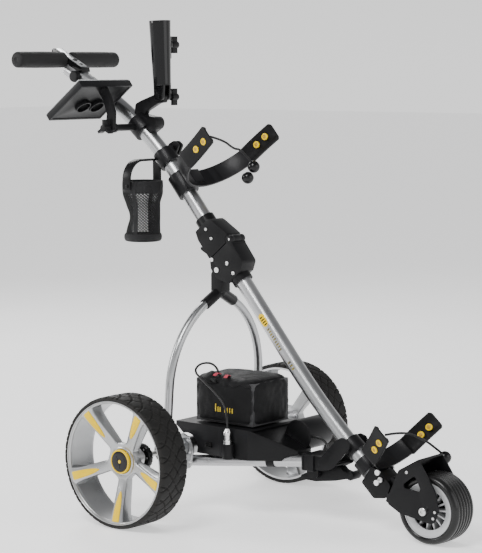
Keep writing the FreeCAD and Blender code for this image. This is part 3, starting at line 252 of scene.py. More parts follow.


# One finish for each of the record's material slots, and extra ones for details of another colour.
# Each worn colour below is a paler tint along convex edges, part wear and part painted highlight.
LOOK = {
    "silver_tube": surface("tube_satin", (0.33, 0.335, 0.34), (0.41, 0.415, 0.42), 0.30, 1.0, 9, 1500,
                           0.00004, coat=0.05, coat_rough=0.3, worn=(0.5, 0.5, 0.51)),
    "black_moulding": surface("moulded_black", (0.0035, 0.0035, 0.004), (0.0065, 0.0065, 0.007), 0.36, 0.0,
                              18, 1100, 0.00009, coat=0.04, coat_rough=0.2, worn=(0.010, 0.010, 0.011),
                              specular=0.14),
    "black_gloss": surface("polished_black", (0.0025, 0.0025, 0.003), (0.0045, 0.0045, 0.005), 0.16, 0.0, 24,
                           700, 0.00002, coat=0.2, coat_rough=0.07, worn=(0.008, 0.008, 0.008), specular=0.2),
    "rim_silver": surface("rim_paint", (0.32, 0.325, 0.33), (0.40, 0.405, 0.41), 0.29, 0.95, 10, 1300,
                          0.00004, coat=0.12, coat_rough=0.2, worn=(0.55, 0.55, 0.56)),
    "yellow_trim": surface("yellow_plastic", (0.68, 0.44, 0.0), (0.80, 0.53, 0.0), 0.36, 0.0, 30, 900,
                           0.00005, coat=0.02, worn=(0.82, 0.56, 0.01), specular=0.16),
    "fastener_steel": surface("zinc_steel", (0.42, 0.42, 0.41), (0.58, 0.58, 0.57), 0.3, 1.0, 90, 1600,
                              0.00004, stretch=(1, 1, 6), worn=(0.8, 0.8, 0.8)),
    "axle_steel": surface("axle_steel", (0.4, 0.4, 0.4), (0.55, 0.55, 0.54), 0.28, 1.0, 60, 1200, 0.00003,
                          stretch=(1, 9, 1)),
    "plug_metal": surface("plug_chrome", (0.6, 0.6, 0.6), (0.72, 0.72, 0.71), 0.14, 1.0, 80, 900, 0.00002),
    "pad_rubber": surface("pad_rubber", (0.0035, 0.0035, 0.004), (0.007, 0.007, 0.0075), 0.42, 0.0, 40, 1400,
                          0.00012, worn=(0.011, 0.011, 0.011), specular=0.14),
    "cable_rubber": surface("cable_rubber", (0.004, 0.004, 0.004), (0.008, 0.008, 0.008), 0.34, 0.0, 60, 1200,
                            0.00008, specular=0.35),
    "battery_case": surface("battery_case", (0.02, 0.02, 0.022), (0.03, 0.03, 0.032), 0.45),
    "motor_steel": surface("motor_steel", (0.3, 0.3, 0.3), (0.4, 0.4, 0.4), 0.4, 1.0),
    "grey_wheel": surface("front_rim_grey", (0.44, 0.445, 0.45), (0.52, 0.525, 0.53), 0.36, 0.2, 16, 1300,
                          0.00004, coat=0.12, worn=(0.62, 0.62, 0.63)),
    "lid_grey": surface("lid_grey", (0.36, 0.37, 0.38), (0.45, 0.46, 0.47), 0.33, 0.35, 12, 1000, 0.00005,
                        coat=0.2, worn=(0.6, 0.6, 0.61)),
    "tyre_rubber": rubber("tyre_rubber"),
    "bag_fabric": leather("bag_leather"),
    "grip_foam": foam("grip_foam"),
    "mesh_fabric": woven("net_thread", (0.003, 0.003, 0.0035), (0.009, 0.009, 0.0095), 500, 0.03),
    "cord_fabric": woven("bungee_braid", (0.003, 0.003, 0.003), (0.014, 0.014, 0.015), 420, 0.04),
}
EXTRA = {
    "front_tyre": surface("front_tyre_black", (0.003, 0.003, 0.003), (0.007, 0.007, 0.007), 0.25, 0.0, 26,
                          1000, 0.00005, coat=0.1, coat_rough=0.2, worn=(0.016, 0.016, 0.016), specular=0.3),
    "amber": surface("stud_centre", (0.32, 0.17, 0.004), (0.45, 0.26, 0.01), 0.4, 0.0, 60, 900, 0.0001),
    "red_tab": woven("red_tape", (0.35, 0.01, 0.03), (0.6, 0.03, 0.07), 600, 0.2),
    "tape": woven("nylon_tape", (0.003, 0.003, 0.0035), (0.011, 0.011, 0.012), 700, 0.03),
    "dark_steel": surface("blackened_steel", (0.02, 0.02, 0.021), (0.035, 0.035, 0.036), 0.3, 0.8, 40, 900,
                          0.00004, worn=(0.2, 0.2, 0.2)),
    "label": surface("silver_label", (0.45, 0.46, 0.47), (0.54, 0.55, 0.56), 0.3, 0.6, 12, 1500, 0.00003,
                     coat=0.2),
    "stitch": woven("pale_mark", (0.45, 0.32, 0.012), (0.72, 0.52, 0.02), 800, 0.1),
    "badge": badge("tube_badge"),
}


# --- cords
def cord(name, points, radius, body, slot, **facts):
    """A round cord whose control points are its route."""
    curve = bpy.data.curves.new(name, "CURVE")
    curve.dimensions = "3D"
    spline = curve.splines.new("NURBS")
    spline.points.add(len(points) - 1)
    for control, point in zip(spline.points, points):
        control.co = (*point, 1)
    spline.order_u = 3
    spline.use_endpoint_u = True
    curve.bevel_depth = radius
    curve.bevel_resolution = 5
    curve.resolution_u = 14
    curve.use_fill_caps = True
    curve.materials.append(LOOK[slot])
    obj = bpy.data.objects.new(name, curve)
    bpy.context.scene.collection.objects.link(obj)
    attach(obj, body)
    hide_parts(name.replace("_line", ""))


BATTERY_CABLE = [(0.0242, -0.0966, 0.198), (0.0242, -0.0966, 0.224), (0.0097, -0.09, 0.25),
                 (-0.0223, -0.086, 0.274), (-0.0583, -0.084, 0.296), (-0.0843, -0.08, 0.312),
                 (-0.0843, -0.062, 0.326), (-0.0643, -0.05, 0.33), (-0.0483, -0.044, 0.32),
                 (-0.0443, -0.042, 0.3065)]
WIRING = [(0.1644, 0.026, 0.178), (0.1824, 0.026, 0.178), (0.1987, 0.024, 0.173),
          (0.2107, 0.018, 0.165), (0.2137, 0.014, 0.1524)]
UPPER_BUNGEE = [(-0.0201, -0.0985, 0.8325), (-0.0202, -0.052, 0.8232), (-0.0314, -0.004, 0.8023),
                (-0.0372, 0.0302, 0.8003), (-0.0272, 0.0542, 0.7703)]
LOWER_BUNGEE = [(0.4323, -0.084, 0.2309), (0.4477, -0.04, 0.2333), (0.4587, 0.002, 0.2156),
                (0.4594, 0.0375, 0.1994), (0.4774, 0.0595, 0.1754)]
cord("battery_cable_line", BATTERY_CABLE, 0.0025, "lower_frame", "cable_rubber", exit=BATTERY_CABLE[-1],
     length=0.242, far_end="plug", stiffness="medium", lay="loose", with_pieces=[NODES["battery_plug"]])
cord("wiring_line", WIRING, 0.003, "lower_frame", "cable_rubber", exit=WIRING[0], length=0.063,
     far_end="object", stiffness="medium", lay="loose")
cord("upper_bungee_line", UPPER_BUNGEE, 0.0025, "handle", "cord_fabric", exit=UPPER_BUNGEE[0], length=0.171,
     far_end="object", stiffness="limp", lay="taut")
cord("lower_bungee_line", LOWER_BUNGEE, 0.0025, "frame", "cord_fabric", exit=LOWER_BUNGEE[0], length=0.167,
     far_end="object", stiffness="limp", lay="taut")


# --- shapes
class Shape:
    """Vertices in millimetres from the axle, and faces."""

    def __init__(self):
        self.points, self.faces = [], []

    def add(self, points, faces, place=None):
        base = len(self.points)
        self.points += [tuple(place @ Vector(p)) if place else tuple(p) for p in points]
        self.faces += [tuple(base + i for i in face) for face in faces]
        return self

    def grid(self, rings, place=None, around=True, ends=True, loop=False):
        """Rings of equal length joined side by side; ends closes the first and last, loop joins them."""
        width = len(rings[0])
        points = [p for ring in rings for p in ring]
        faces = []
        steps = len(rings) if loop else len(rings) - 1
        for i in range(steps):
            a, b = i * width, (i + 1) % len(rings) * width
            for j in range(width if around else width - 1):
                k = (j + 1) % width
                faces.append((a + j, a + k, b + k, b + j))
        if ends and not loop and around:
            faces.append(tuple(range(width))[::-1])
            faces.append(tuple((len(rings) - 1) * width + j for j in range(width)))
        return self.add(points, faces, place)

    def lathe(self, profile, place, steps):
        """A closed profile of (offset along the axis, radius) pairs, turned about place's z."""
        rings = [[(r * math.cos(TAU * j / steps), r * math.sin(TAU * j / steps), h) for j in range(steps)]
                 for h, r in profile]
        return self.grid(rings, place, loop=True)


def basis(origin, axis, toward=(0, 0, 1)):
    """A place whose z runs along axis and whose x leans toward the other direction."""
    z = Vector(axis).normalized()
    x = Vector(toward) - z * z.dot(Vector(toward))
    if x.length < 1e-6:
        x = Vector((1, 0, 0))
    x.normalize()
    place = Matrix((x, z.cross(x), z)).transposed().to_4x4()
    place.translation = Vector(origin)
    return place


def cradle_place(origin, along):
    """x along, y left, z off the tube."""
    x = Vector(along).normalized()
    y = Vector((0, 1, 0))
    place = Matrix((x, y, x.cross(y))).transposed().to_4x4()
    place.translation = Vector(origin)
    return place


def tube(shape, path, radius, sides=8, ends=True):
    """A round tube through the points."""
    rings = []
    points = [Vector(p) for p in path]
    last = None
    for i, point in enumerate(points):
        heading = (points[min(i + 1, len(points) - 1)] - points[max(i - 1, 0)]).normalized()
        across = last - heading * heading.dot(last) if last else heading.orthogonal()
        across.normalize()
        last = across
        up = heading.cross(across)
        rings.append([point + (across * math.cos(TAU * j / sides) + up * math.sin(TAU * j / sides)) * radius
                      for j in range(sides)])
    return shape.grid(rings, ends=ends)


def ribbon(shape, path, across, width, thickness):
    """A flat strip along the points, its width along the given direction."""
    rings = []
    for i, point in enumerate(path):
        heading = (path[min(i + 1, len(path) - 1)] - path[max(i - 1, 0)]).normalized()
        side = (across - heading * heading.dot(across)).normalized()
        up = heading.cross(side)
        half, rise = width / 2, thickness / 2
        rings.append([point + side * a + up * b for a, b in
                      ((-half, -rise * 0.5), (-half * 0.96, -rise), (half * 0.96, -rise), (half, -rise * 0.5),
                       (half, rise * 0.5), (half * 0.96, rise), (-half * 0.96, rise), (-half, rise * 0.5))])
    return shape.grid(rings)


# The main tube: its slope, the directions down it and off it, and the fold's centre.
SLOPE = math.radians(50.3)
DOWN = Vector((math.cos(SLOPE), 0, -math.sin(SLOPE)))
OFF = Vector((math.sin(SLOPE), 0, math.cos(SLOPE)))
FOLD = Vector((38.6, 0, 575.7))


def fold_point(u, v):
    """A point of the middle plane, u down the main tube from the fold and v off it."""
    return FOLD + DOWN * u + OFF * v


def finish_mesh(mesh, sharp):
    """Outward normals and smooth shading, with edges above sharp degrees kept crisp."""
    bm = bmesh.new()
    bm.from_mesh(mesh)
    bmesh.ops.recalc_face_normals(bm, faces=bm.faces)
    bm.to_mesh(mesh)
    bm.free()
    mesh.shade_smooth()
    mesh.set_sharp_from_angle(angle=math.radians(sharp))


def piece(name, shape, body, slot, replaces=(), look=None, sharp=38, merge=False):
    """A visible piece from a shape; its look is the slot's own unless another is given."""
    mesh = bpy.data.meshes.new(name)
    mesh.from_pydata([row(p) for p in shape.points], [], shape.faces)
    if merge:
        bm = bmesh.new()
        bm.from_mesh(mesh)
        bmesh.ops.remove_doubles(bm, verts=bm.verts, dist=2e-5)
        bm.to_mesh(mesh)
        bm.free()
    finish_mesh(mesh, sharp)
    return install(name, mesh, look or LOOK[slot], body, replaces)


def install(name, mesh, look, body, replaces=()):
    """Puts a mesh in the scene, riding on a body and standing in for the CAD nodes it replaces."""
    mesh.materials.clear()
    mesh.materials.append(look)
    obj = bpy.data.objects.new(name, mesh)
    bpy.context.scene.collection.objects.link(obj)
    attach(obj, body)
    if replaces:
        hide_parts(*replaces)
    return obj


# --- castings: the frame's own shapes with eased edges
BODY_OF = {node: body for body, names in frame["record"]["behaviour"]["bodies"].items() for node in names}
SLOT_OF = {entry["node"]: entry["material_slot"] for entry in frame["record"]["subparts"]}
SHARP_EDGE = math.radians(32)


def eased_mesh(source, width, dissolve):
    """The node's mesh with its sharp edges rounded by width millimetres, or None where that spoils it."""
    bm = bmesh.new()
    bm.from_mesh(source)
    bmesh.ops.remove_doubles(bm, verts=bm.verts, dist=5e-6)
    before = abs(bm.calc_volume(signed=True))
    area = sum(f.calc_area() for f in bm.faces)
    if dissolve:
        bmesh.ops.dissolve_limit(bm, angle_limit=math.radians(0.8), verts=bm.verts, edges=bm.edges)
    sharp = [e for e in bm.edges if len(e.link_faces) == 2 and e.calc_face_angle(0) > SHARP_EDGE]
    bmesh.ops.bevel(bm, geom=sharp, offset=width / 1000, segments=2, profile=0.6, affect="EDGES",
                    clamp_overlap=True)
    bmesh.ops.triangulate(bm, faces=[f for f in bm.faces if len(f.verts) > 4])
    loose = sum(1 for e in bm.edges if len(e.link_faces) != 2)
    after = abs(bm.calc_volume(signed=True))
    now = sum(f.calc_area() for f in bm.faces)
    good = loose == 0 and abs(now / area - 1) < 0.06 and abs(after / max(before, 1e-12) - 1) < 0.05
    mesh = None
    if good:
        mesh = bpy.data.meshes.new(source.name + "_eased")
        bm.to_mesh(mesh)
        mesh.shade_smooth()
        mesh.set_sharp_from_angle(angle=math.radians(40))
    bm.free()
    return mesh


def soften(node, width, look):
    """Stands a copy with rounded edges in for a node; where rounding would spoil it, the node stays."""
    for share, dissolve in ((1.0, True), (0.6, True), (0.35, True), (0.6, False), (0.3, False)):
        mesh = eased_mesh(NODES[node].data, width * share, dissolve)
        if mesh:
            install(node + "_eased", mesh, look, BODY_OF[node], (node,))
            return


# How far each casting's edges are rounded, in millimetres.
EASED = {"fold_socket": 1.4, "fold_cap": 1.4, "front_bracket": 0.7, "fork_clamp": 1.6, "fork": 0.8,
         "lower_cradle": 1.2, "upper_cradle": 1.2, "front_lock": 1.2, "control_pod": 1.6,
         "accessory_clamp": 1.4, "cup_clamp": 1.2, "cup_yoke": 1.2, "scorecard_tray": 1.2,
         "scorecard_lid": 0.9, "accessory_knob": 1.5, "umbrella_holder": 0.9, "umbrella_knob": 1.5,
         "umbrella_pivot_knob": 1.5, "fold_latch": 1.2, "leg_yoke": 1.4, "axle_housing": 1.5,
         "axle_plates": 0.8, "front_block": 1.4, "battery_tray": 2.4, "controller_housing": 2.2,
         "power_button": 0.8, "timer_button": 0.7, "speed_dial": 0.8}
SATIN = ("scorecard_tray", "controller_housing")
for node, width in EASED.items():
    soften(node, width, LOOK["black_moulding" if node in SATIN else SLOT_OF[node]])
for node, obj in NODES.items():
    for holder in obj.material_slots:
        holder.material = LOOK[SLOT_OF[node]]


# --- rear wheels
WHEEL_MIDDLE, WHEEL_RADIUS = 291.0, 143.0
SPOKE_START, SPOKES = math.radians(-88.0), 5


def smooth_step(low, high, value):
    """0 below low, 1 above high, and an S curve between."""
    t = min(1.0, max(0.0, (value - low) / (high - low)))
    return t * t * (3 - 2 * t)


def wheel_point(side, radius, angle, offset):
    """A point of a rear wheel; offset is outward from its middle plane."""
    return (radius * math.cos(angle), side * (WHEEL_MIDDLE + offset), WHEEL_RADIUS + radius * math.sin(angle))


def lerp(table, value):
    """The table's value there, with straight lines between its entries."""
    for (a, x), (b, y) in zip(table, table[1:]):
        if value <= b:
            return x + (y - x) * max(0.0, (value - a)) / (b - a)
    return table[-1][1]


def rear_tyre(side, tag):
    """Blocks between curved diagonal grooves that sweep from the crown to each shoulder."""
    across = [(-39, 134), (-40.4, 135.4), (-41, 137), (-40.6, 139.4), (-38.8, 141.2), (-36.2, 142.2),
              (-33.4, 142.6)]
    crown = [(-33.4 + 66.8 * i / 26, 142.6 + 0.4 * math.sin(math.pi * i / 26)) for i in range(1, 26)]
    across = across + crown + [(-o, r) for o, r in across[::-1]]
    steps, pitch = 672, TAU / 28
    rings = []
    for i in range(steps):
        angle = TAU * i / steps
        ring = []
        for offset, radius in across:
            depth = 0.0
            for lean, start in ((1, 0.0), (-1, 0.5)):
                sweep = lean * pitch * (0.95 * offset / 41 + 0.25 * math.sin(offset / 41 * math.pi))
                phase = ((angle + sweep) / pitch + start) % 1.0
                from_groove = abs(phase - 0.5) * pitch * WHEEL_RADIUS
                groove = 1 - smooth_step(0.9, 2.3, from_groove)
                if lean < 0:
                    groove *= smooth_step(0.05, 0.3, abs((((angle - sweep) / pitch) % 2.0) - 1.0))
                depth = max(depth, 2.4 * groove)
            depth *= smooth_step(137.0, 140.5, radius) if abs(offset) > 36 else 1
            ring.append(wheel_point(side, radius - depth, angle, offset))
        rings.append(ring)
    piece("tyre_treaded_" + tag, Shape().grid(rings, loop=True), "wheel_" + tag, "tyre_rubber",
          ("tyre_" + tag,), sharp=50)


# The spokes by radius: their outer face, their depth, and half their width.
FACE = [(14, 7.5), (30, 10.0), (39, 11.6), (50, 14.6), (60, 18.0), (80, 24.4), (100, 30.6), (118, 35.6),
        (132, 38.4)]
DEPTH = [(14, 16), (38, 20), (60, 24), (100, 30), (132, 34)]
HALF = [(14, 14.0), (60, 14.2), (100, 15.6), (120, 18.0), (132, 23.0)]


def spoke_reach(radius):
    """Half the angle that a spoke covers at this radius; neighbours meet in a rounded valley near the hub."""
    root, fillet, sector = 37.0, 24.0, math.pi / SPOKES
    line = radius * math.sin(sector) - lerp(HALF, radius) * math.cos(sector) * 0.98
    rise = radius - root
    arc = math.sqrt(max(0.0, fillet ** 2 - max(0.0, fillet - rise) ** 2)) if rise < fillet else 1e9
    gap = max(0.0, min(line, arc))
    return sector - math.asin(min(1.0, gap / radius))


def rim_star(side, tag, place):
    """Five dished spokes that run into each other at the hub, and the barrel that carries the tyre."""
    shape = Shape()
    stations = [29, 33, 36, 37, 37.1, 37.4, 37.9, 38.7, 39.8, 41.3, 43.2, 45.6, 48.5, 52, 56, 60.5, 66, 73,
                81, 90, 99, 108, 117, 123, 128, 131.5]
    shoulder = [(1.0, 6.0), (0.985, 4.3), (0.95, 2.8), (0.89, 1.5), (0.8, 0.6)]
    crown = [(-f, d) for f, d in shoulder] + [(-0.45, -0.35), (0, -0.5), (0.45, -0.35)] + shoulder[::-1]
    for index in range(SPOKES):
        axis = SPOKE_START + index * TAU / SPOKES
        rings = []
        for radius in stations:
            reach, face, depth = spoke_reach(radius), lerp(FACE, radius), lerp(DEPTH, radius)
            easing = min(1.0, max(0.0, (radius - 37) / 9))
            ring = [wheel_point(side, radius, axis + f * reach, face - (d * easing if d > 0 else d))
                    for f, d in crown]
            ring += [wheel_point(side, radius, axis + f * reach, face - lift)
                     for f, lift in ((1.0, depth * 0.6), (0.98, depth - 1.5), (0.9, depth), (0, depth),
                                     (-0.9, depth), (-0.98, depth - 1.5), (-1.0, depth * 0.6))]
            rings.append(ring)
        shape.grid(rings)
    shape.lathe([(-9, 6.5), (-9, 34), (8, 34), (10.6, 31.6), (11.9, 29.6), (12.2, 28.4), (12.1, 27.4),
                 (11.4, 27.1), (8.6, 27.0), (8.4, 22.2), (2.5, 22.1), (2.2, 6.5)], place, 96)
    shape.lathe([(-32.6, 6.4), (-33, 8), (-33, 25.5), (-31.5, 27), (-6, 27), (-6, 6.4)], place, 60)
    barrel = [(-38, 129.6), (-38, 133.7), (-34, 134), (36.5, 134), (38.6, 133.9), (40, 133.2), (40.2, 132),
              (39.4, 131.2), (38.2, 130.9), (37.9, 129.8), (37.2, 128.4), (34.6, 127.4), (32.6, 127.6),
              (31.2, 129), (26, 129.6), (-30, 129.2)]
    shape.lathe(barrel, place, 120)
    piece("rim_star_" + tag, shape, "wheel_" + tag, "rim_silver", ("rim_" + tag,), sharp=44)


def spoke_strips(side, tag):
    """A tapering yellow strip on each spoke."""
    strips = Shape()
    for index in range(SPOKES):
        axis = SPOKE_START + index * TAU / SPOKES
        rings = []
        for radius, half, lift in ((62.5, 0.3, 0.2), (64, 1.3, 1.3), (67, 2.6, 1.8), (72, 4.2, 2.0),
                                   (80, 5.9, 2.0), (90, 7.3, 2.0), (102, 8.3, 2.0), (114, 8.9, 2.0),
                                   (124, 9.2, 2.0), (126.6, 9.0, 1.4), (127.4, 8.4, 0.3)):
            face, drift = lerp(FACE, radius), 2.4 * (127 - radius) / 64
            rings.append([wheel_point(side, radius, axis + (f * half + drift) / radius,
                                      face + (lift * rise if rise > 0 else rise))
                          for f, rise in ((-1, -1.5), (-1, 0.55), (-0.86, 1.0), (0, 1.12), (0.86, 1.0),
                                          (1, 0.55), (1, -1.5))])
        strips.grid(rings)
    piece("spoke_strips_" + tag, strips, "wheel_" + tag, "yellow_trim", ("spoke_inserts_" + tag,), sharp=50)


def hub_button(tag, place):
    """The push cap: a yellow ring, a black face with three raised wedges, and a small yellow nub."""
    button = "hub_button_" + tag
    ring = Shape()
    ring.lathe([(7, 8), (7, 21), (11.8, 21.3), (11.9, 26.3), (14.2, 26.5), (17, 26.5), (18.4, 25.9),
                (18.9, 25), (18.8, 23.2), (17.6, 22.6), (17.2, 8)], place, 72)
    piece("hub_cap_ring_" + tag, ring, button, "yellow_trim", ("hub_cap_" + tag,), sharp=50)
    centre = Shape()
    centre.lathe([(16, 3), (16, 22.9), (18.0, 22.5), (18.7, 19), (19.0, 13), (19.0, 6.4), (18.3, 5.8),
                  (18.3, 3)], place, 60)
    for index in range(3):
        centre.grid([[(6.9, -1.1, h), (14.6, -3.4, h - 0.05), (14.6, 3.4, h - 0.05), (6.9, 1.1, h)]
                     for h in (18.4, 19.55)], place @ Matrix.Rotation(TAU * index / 3 + 0.4, 4, "Z"))
    piece("hub_cap_centre_" + tag, centre, button, "black_gloss")
    nub = Shape()
    nub.lathe([(17, 0.4), (18.9, 0.4), (19.2, 2), (19.1, 3.3), (18.2, 3.7), (17, 3.7)], place, 36)
    piece("hub_cap_nub_" + tag, nub, button, "yellow_trim")


def clutch(side, tag, place):
    """The toothed disc behind the wheel, its bolted cap, and the turned shaft through it."""
    body = "wheel_" + tag
    disc = Shape()
    disc.lathe([(-62, 6.2), (-62, 22), (-61, 24), (-59, 24.6), (-58, 27.6), (-57, 28.5), (-49, 28.5),
                (-47.6, 27.4), (-47, 25.8), (-48.6, 24.4), (-48.6, 15), (-46.4, 13.6), (-46.4, 11),
                (-47, 6.2)], place, 72)
    for index in range(24):
        disc.grid([[(24.6, -1.1, h), (28.9, -1.5, h), (28.9, 1.5, h),
                    (24.6, 1.1, h)] for h in (-57.5, -49.5)],
                  place @ Matrix.Rotation(TAU * index / 24, 4, "Z"))
    piece("clutch_disc_" + tag, disc, body, "black_gloss")
    caps = Shape()
    caps.lathe([(-49, 7), (-49, 14.4), (-47.6, 14.8), (-46, 14), (-45.4, 11.6), (-45.4, 7)], place, 48)
    for index in range(6):
        angle, reach = TAU * index / 6, 19.6
        spot = place @ Vector((reach * math.cos(angle), reach * math.sin(angle), -48.8))
        screw(caps, spot, (0, side, 0), 1.9, 1.6, 16)
    piece("clutch_cap_" + tag, caps, body, "fastener_steel")
    shaft = Shape()
    shaft.lathe([(-140.5, 1), (-140.5, 5.2), (-139.7, 6), (-41, 6), (-41, 10.4), (-40.4, 11), (-35.6, 11),
                 (-35, 10.4), (-35, 6), (1.5, 6), (1.5, 1)], place, 36)
    piece("axle_shaft_turned_" + tag, shaft, body, "axle_steel", ("axle_shaft_" + tag,))


# --- front wheel
FRONT_AXLE = (603, 0, 74)


def mirrored(profile):
    """The profile and then its mirror image, which leads back."""
    return profile + [(-offset, radius) for offset, radius in profile[::-1]]


def front_wheel():
    """A tyre with five grooves round it, a ring, a web, and ribs like a fan."""
    place = basis(FRONT_AXLE, (0, 1, 0), (1, 0, 0))
    shoulder = [(-32.5, 58), (-34.5, 59.2), (-36, 61.5), (-36.5, 64.4), (-35.6, 67.6), (-33, 70.4),
                (-29.4, 72.3), (-26.6, 73)]
    grooves = []
    for index in range(5):
        middle = (index - 2) * 10.0
        for step, drop in ((-3.1, 0), (-2.6, 0.25), (-2.2, 0.9), (-1.7, 2.4), (-1.2, 2.95), (1.2, 2.95),
                           (1.7, 2.4), (2.2, 0.9), (2.6, 0.25), (3.1, 0)):
            crown = 0.9 * (abs(middle + step) / 25) ** 2.5
            grooves.append((middle + step, 74 - drop - crown))
    profile = shoulder + grooves + [(-o, r) for o, r in shoulder[::-1]]
    piece("front_tyre_grooved", Shape().lathe(profile, place, 144), "front_wheel", "tyre_rubber",
          ("front_tyre",), EXTRA["front_tyre"], sharp=40)
    ring = mirrored([(-33.2, 58), (-34, 57.4), (-33.8, 56.2), (-32.2, 55.2), (-31.2, 51), (-29.4, 44.4),
                     (-28.2, 42.4), (-26.4, 42.0), (-20, 45.8), (-8, 52.5)])
    piece("front_rim_ring", Shape().lathe(ring, place, 120), "front_wheel", "grey_wheel",
          ("front_rim",), sharp=36)
    web = mirrored([(-31, 5.1), (-31, 13.4), (-29.6, 15), (-5, 15.6), (-3.6, 18), (-3.2, 53)])
    ribs = Shape()
    for index in range(14):
        rings = []
        for radius, deep in ((14, 25), (20, 24), (30, 21), (40, 20), (48, 19)):
            rings.append([(radius, y, z) for y, z in ((-1.6, -deep), (1.6, -deep), (1.9, -deep + 2),
                                                      (1.9, deep - 2), (1.6, deep), (-1.6, deep),
                                                      (-1.9, deep - 2), (-1.9, -deep + 2))])
        ribs.grid(rings, place @ Matrix.Rotation(TAU * index / 14, 4, "Z"))
    piece("front_hub_web", Shape().lathe(web, place, 72), "front_wheel", "black_moulding", sharp=36)
    piece("front_hub_ribs", ribs, "front_wheel", "grey_wheel", sharp=36)


front_wheel()


# --- screws and rivets
def screw(shape, at, axis, radius, height, sides=24, socket=True):
    """A domed head with a recessed socket."""
    place = basis(at, axis)
    profile = [(-0.4, 0.2), (-0.4, radius), (height * 0.45, radius), (height * 0.8, radius * 0.88),
               (height, radius * 0.62)]
    if socket:
        profile += [(height, radius * 0.42), (height * 0.35, radius * 0.4), (height * 0.3, 0.2)]
    else:
        profile += [(height * 1.04, 0.2)]
    shape.lathe(profile, place, sides)


def fixings():
    """Screws, rivets and clutch rings, each alike on the right and on the left."""
    for name, body, socket, spots in (
            ("fold_cap_screws", "handle", True, [(4.6, 24, 622.9, 3.6, 2.2), (20.2, 24, 603.2, 3.6, 2.2)]),
            ("fold_screws", "frame", True, [(20.8, 24, 555.0, 3.6, 2.2), (65.2, 24, 548.9, 3.6, 2.2),
                                            (35.4, 24, 533.4, 3.8, 2.2), (82.5, 24, 528.9, 3.6, 2.2)]),
            ("fork_screws", "frame", True, [(626, 46, 62, 3.2, 2.4), (630, 46, 76, 3.2, 2.4),
                                            (560, 46, 150, 3.4, 2.4), (603, 51, 74, 8.5, 3.4),
                                            (482.2, 29, 120.8, 6.2, 3.0)]),
            ("axle_plate_rivets", "lower_frame", False, [(22.9, 103.5, 134.5, 3.4, 1.9),
                                                         (22.7, 103.5, 112.5, 3.4, 1.9),
                                                         (-14, 103.5, 128, 3.4, 1.9)])):
        shape = Shape()
        for x, y, z, radius, height in spots:
            for side in (-1, 1):
                screw(shape, (x, side * y, z), (0, side, 0), radius, height, socket=socket)
        piece(name, shape, body, "fastener_steel")
    for name, y, steps, slot, look, profile in (
            ("clutch_faces", 170.4, 60, "axle_steel", EXTRA["dark_steel"],
             [(0, 7.5), (0, 21.5), (1.6, 21.5), (2.4, 20.4), (2.4, 12), (1.2, 10.6), (1.2, 7.5)]),
            ("clutch_hubs", 171.2, 40, "fastener_steel", None,
             [(0, 6.8), (0, 10.8), (3.0, 10.8), (3.8, 10), (3.8, 6.8)])):
        shape = Shape()
        for side in (-1, 1):
            shape.lathe(profile, basis((0, side * y, WHEEL_RADIUS), (0, side, 0)), steps)
        piece(name, shape, "rear_legs", slot, look=look)


fixings()
for tag, side in (("left", 1), ("right", -1)):
    rear_tyre(side, tag)
    hub_place = basis((0, side * WHEEL_MIDDLE, WHEEL_RADIUS), (0, side, 0), (1, 0, 0))
    rim_star(side, tag, hub_place)
    spoke_strips(side, tag)
    hub_button(tag, hub_place)
    clutch(side, tag, hub_place)


# --- cradle pads, studs and balls
UPPER_PADS = cradle_place(fold_point(-191, 0), DOWN)
LOWER_HEADING = Vector((0.75, 0, -0.66)).normalized()
LOWER_OFF = Vector((0.66, 0, 0.75)).normalized()
LOWER_PADS = cradle_place(Vector((450, 0, 125)) - LOWER_HEADING * 30, LOWER_HEADING)
# Where each pair of plates starts and ends, as (distance off the tube, distance from the middle).
UPPER_PLATE, LOWER_PLATE = ((112, 101), (207, 111)), ((58, 66), (141, 96))


def cradle_pads(name, node, place, sections, body):
    """Two curved plates with raised lips along their edges and shallow grip ribs on the inside."""
    shape, width, count = Shape(), 41.0, 30
    (low, low_side), (high, high_side) = sections
    for sign in (-1, 1):
        rings = []
        for i in range(count + 1):
            t = i / count
            off = low + (high - low) * t
            side = low_side + (high_side - low_side) * t - 2.4 * math.sin(math.pi * t)
            end = (abs(t - 0.5) - 0.47) / 0.03
            edge = 4.0 * (0.0 if 0.03 < t < 0.97 else 1 - math.sqrt(max(0, 1 - end ** 2)))
            rib = 0.8 * max(0.0, math.sin(t * math.pi * 13)) if 0.1 < t < 0.9 else 0.0
            inner = [(-2 + edge, 3.2), (-1.2 + edge, 0.9), (1.4 + edge, 0.2), (3.4 + edge, 1.2),
                     (5 + edge, 3.0 - rib), (width / 2, 3.2 - rib), (width - 5 - edge, 3.0 - rib),
                     (width - 3.4 - edge, 1.2), (width - 1.4 - edge, 0.2), (width + 1.2 - edge, 0.9),
                     (width + 2 - edge, 3.2)]
            outer = [(width + 2 - edge, 6.4), (width + 0.6 - edge, 8.4), (width - 3 - edge, 9), (3 + edge, 9),
                     (-0.6 + edge, 8.4), (-2 + edge, 6.4)]
            rings.append([(u, sign * (side + y), off) for u, y in inner + outer])
        shape.grid(rings, place)
    piece(name, shape, body, "pad_rubber", (node,), sharp=50)


cradle_pads("upper_pad_plates", "upper_pads", UPPER_PADS, UPPER_PLATE, "handle")
cradle_pads("lower_pad_plates", "lower_pads", LOWER_PADS, LOWER_PLATE, "frame")


def pad_face(off, sections, side, outward):
    """The direction that a pad plate's face looks in, on one side of the tube."""
    (low, low_side), (high, high_side) = sections
    lean = (high_side - low_side) / (high - low)
    return (Vector((0, side, 0)) - off * lean).normalized() * (1 if outward else -1)


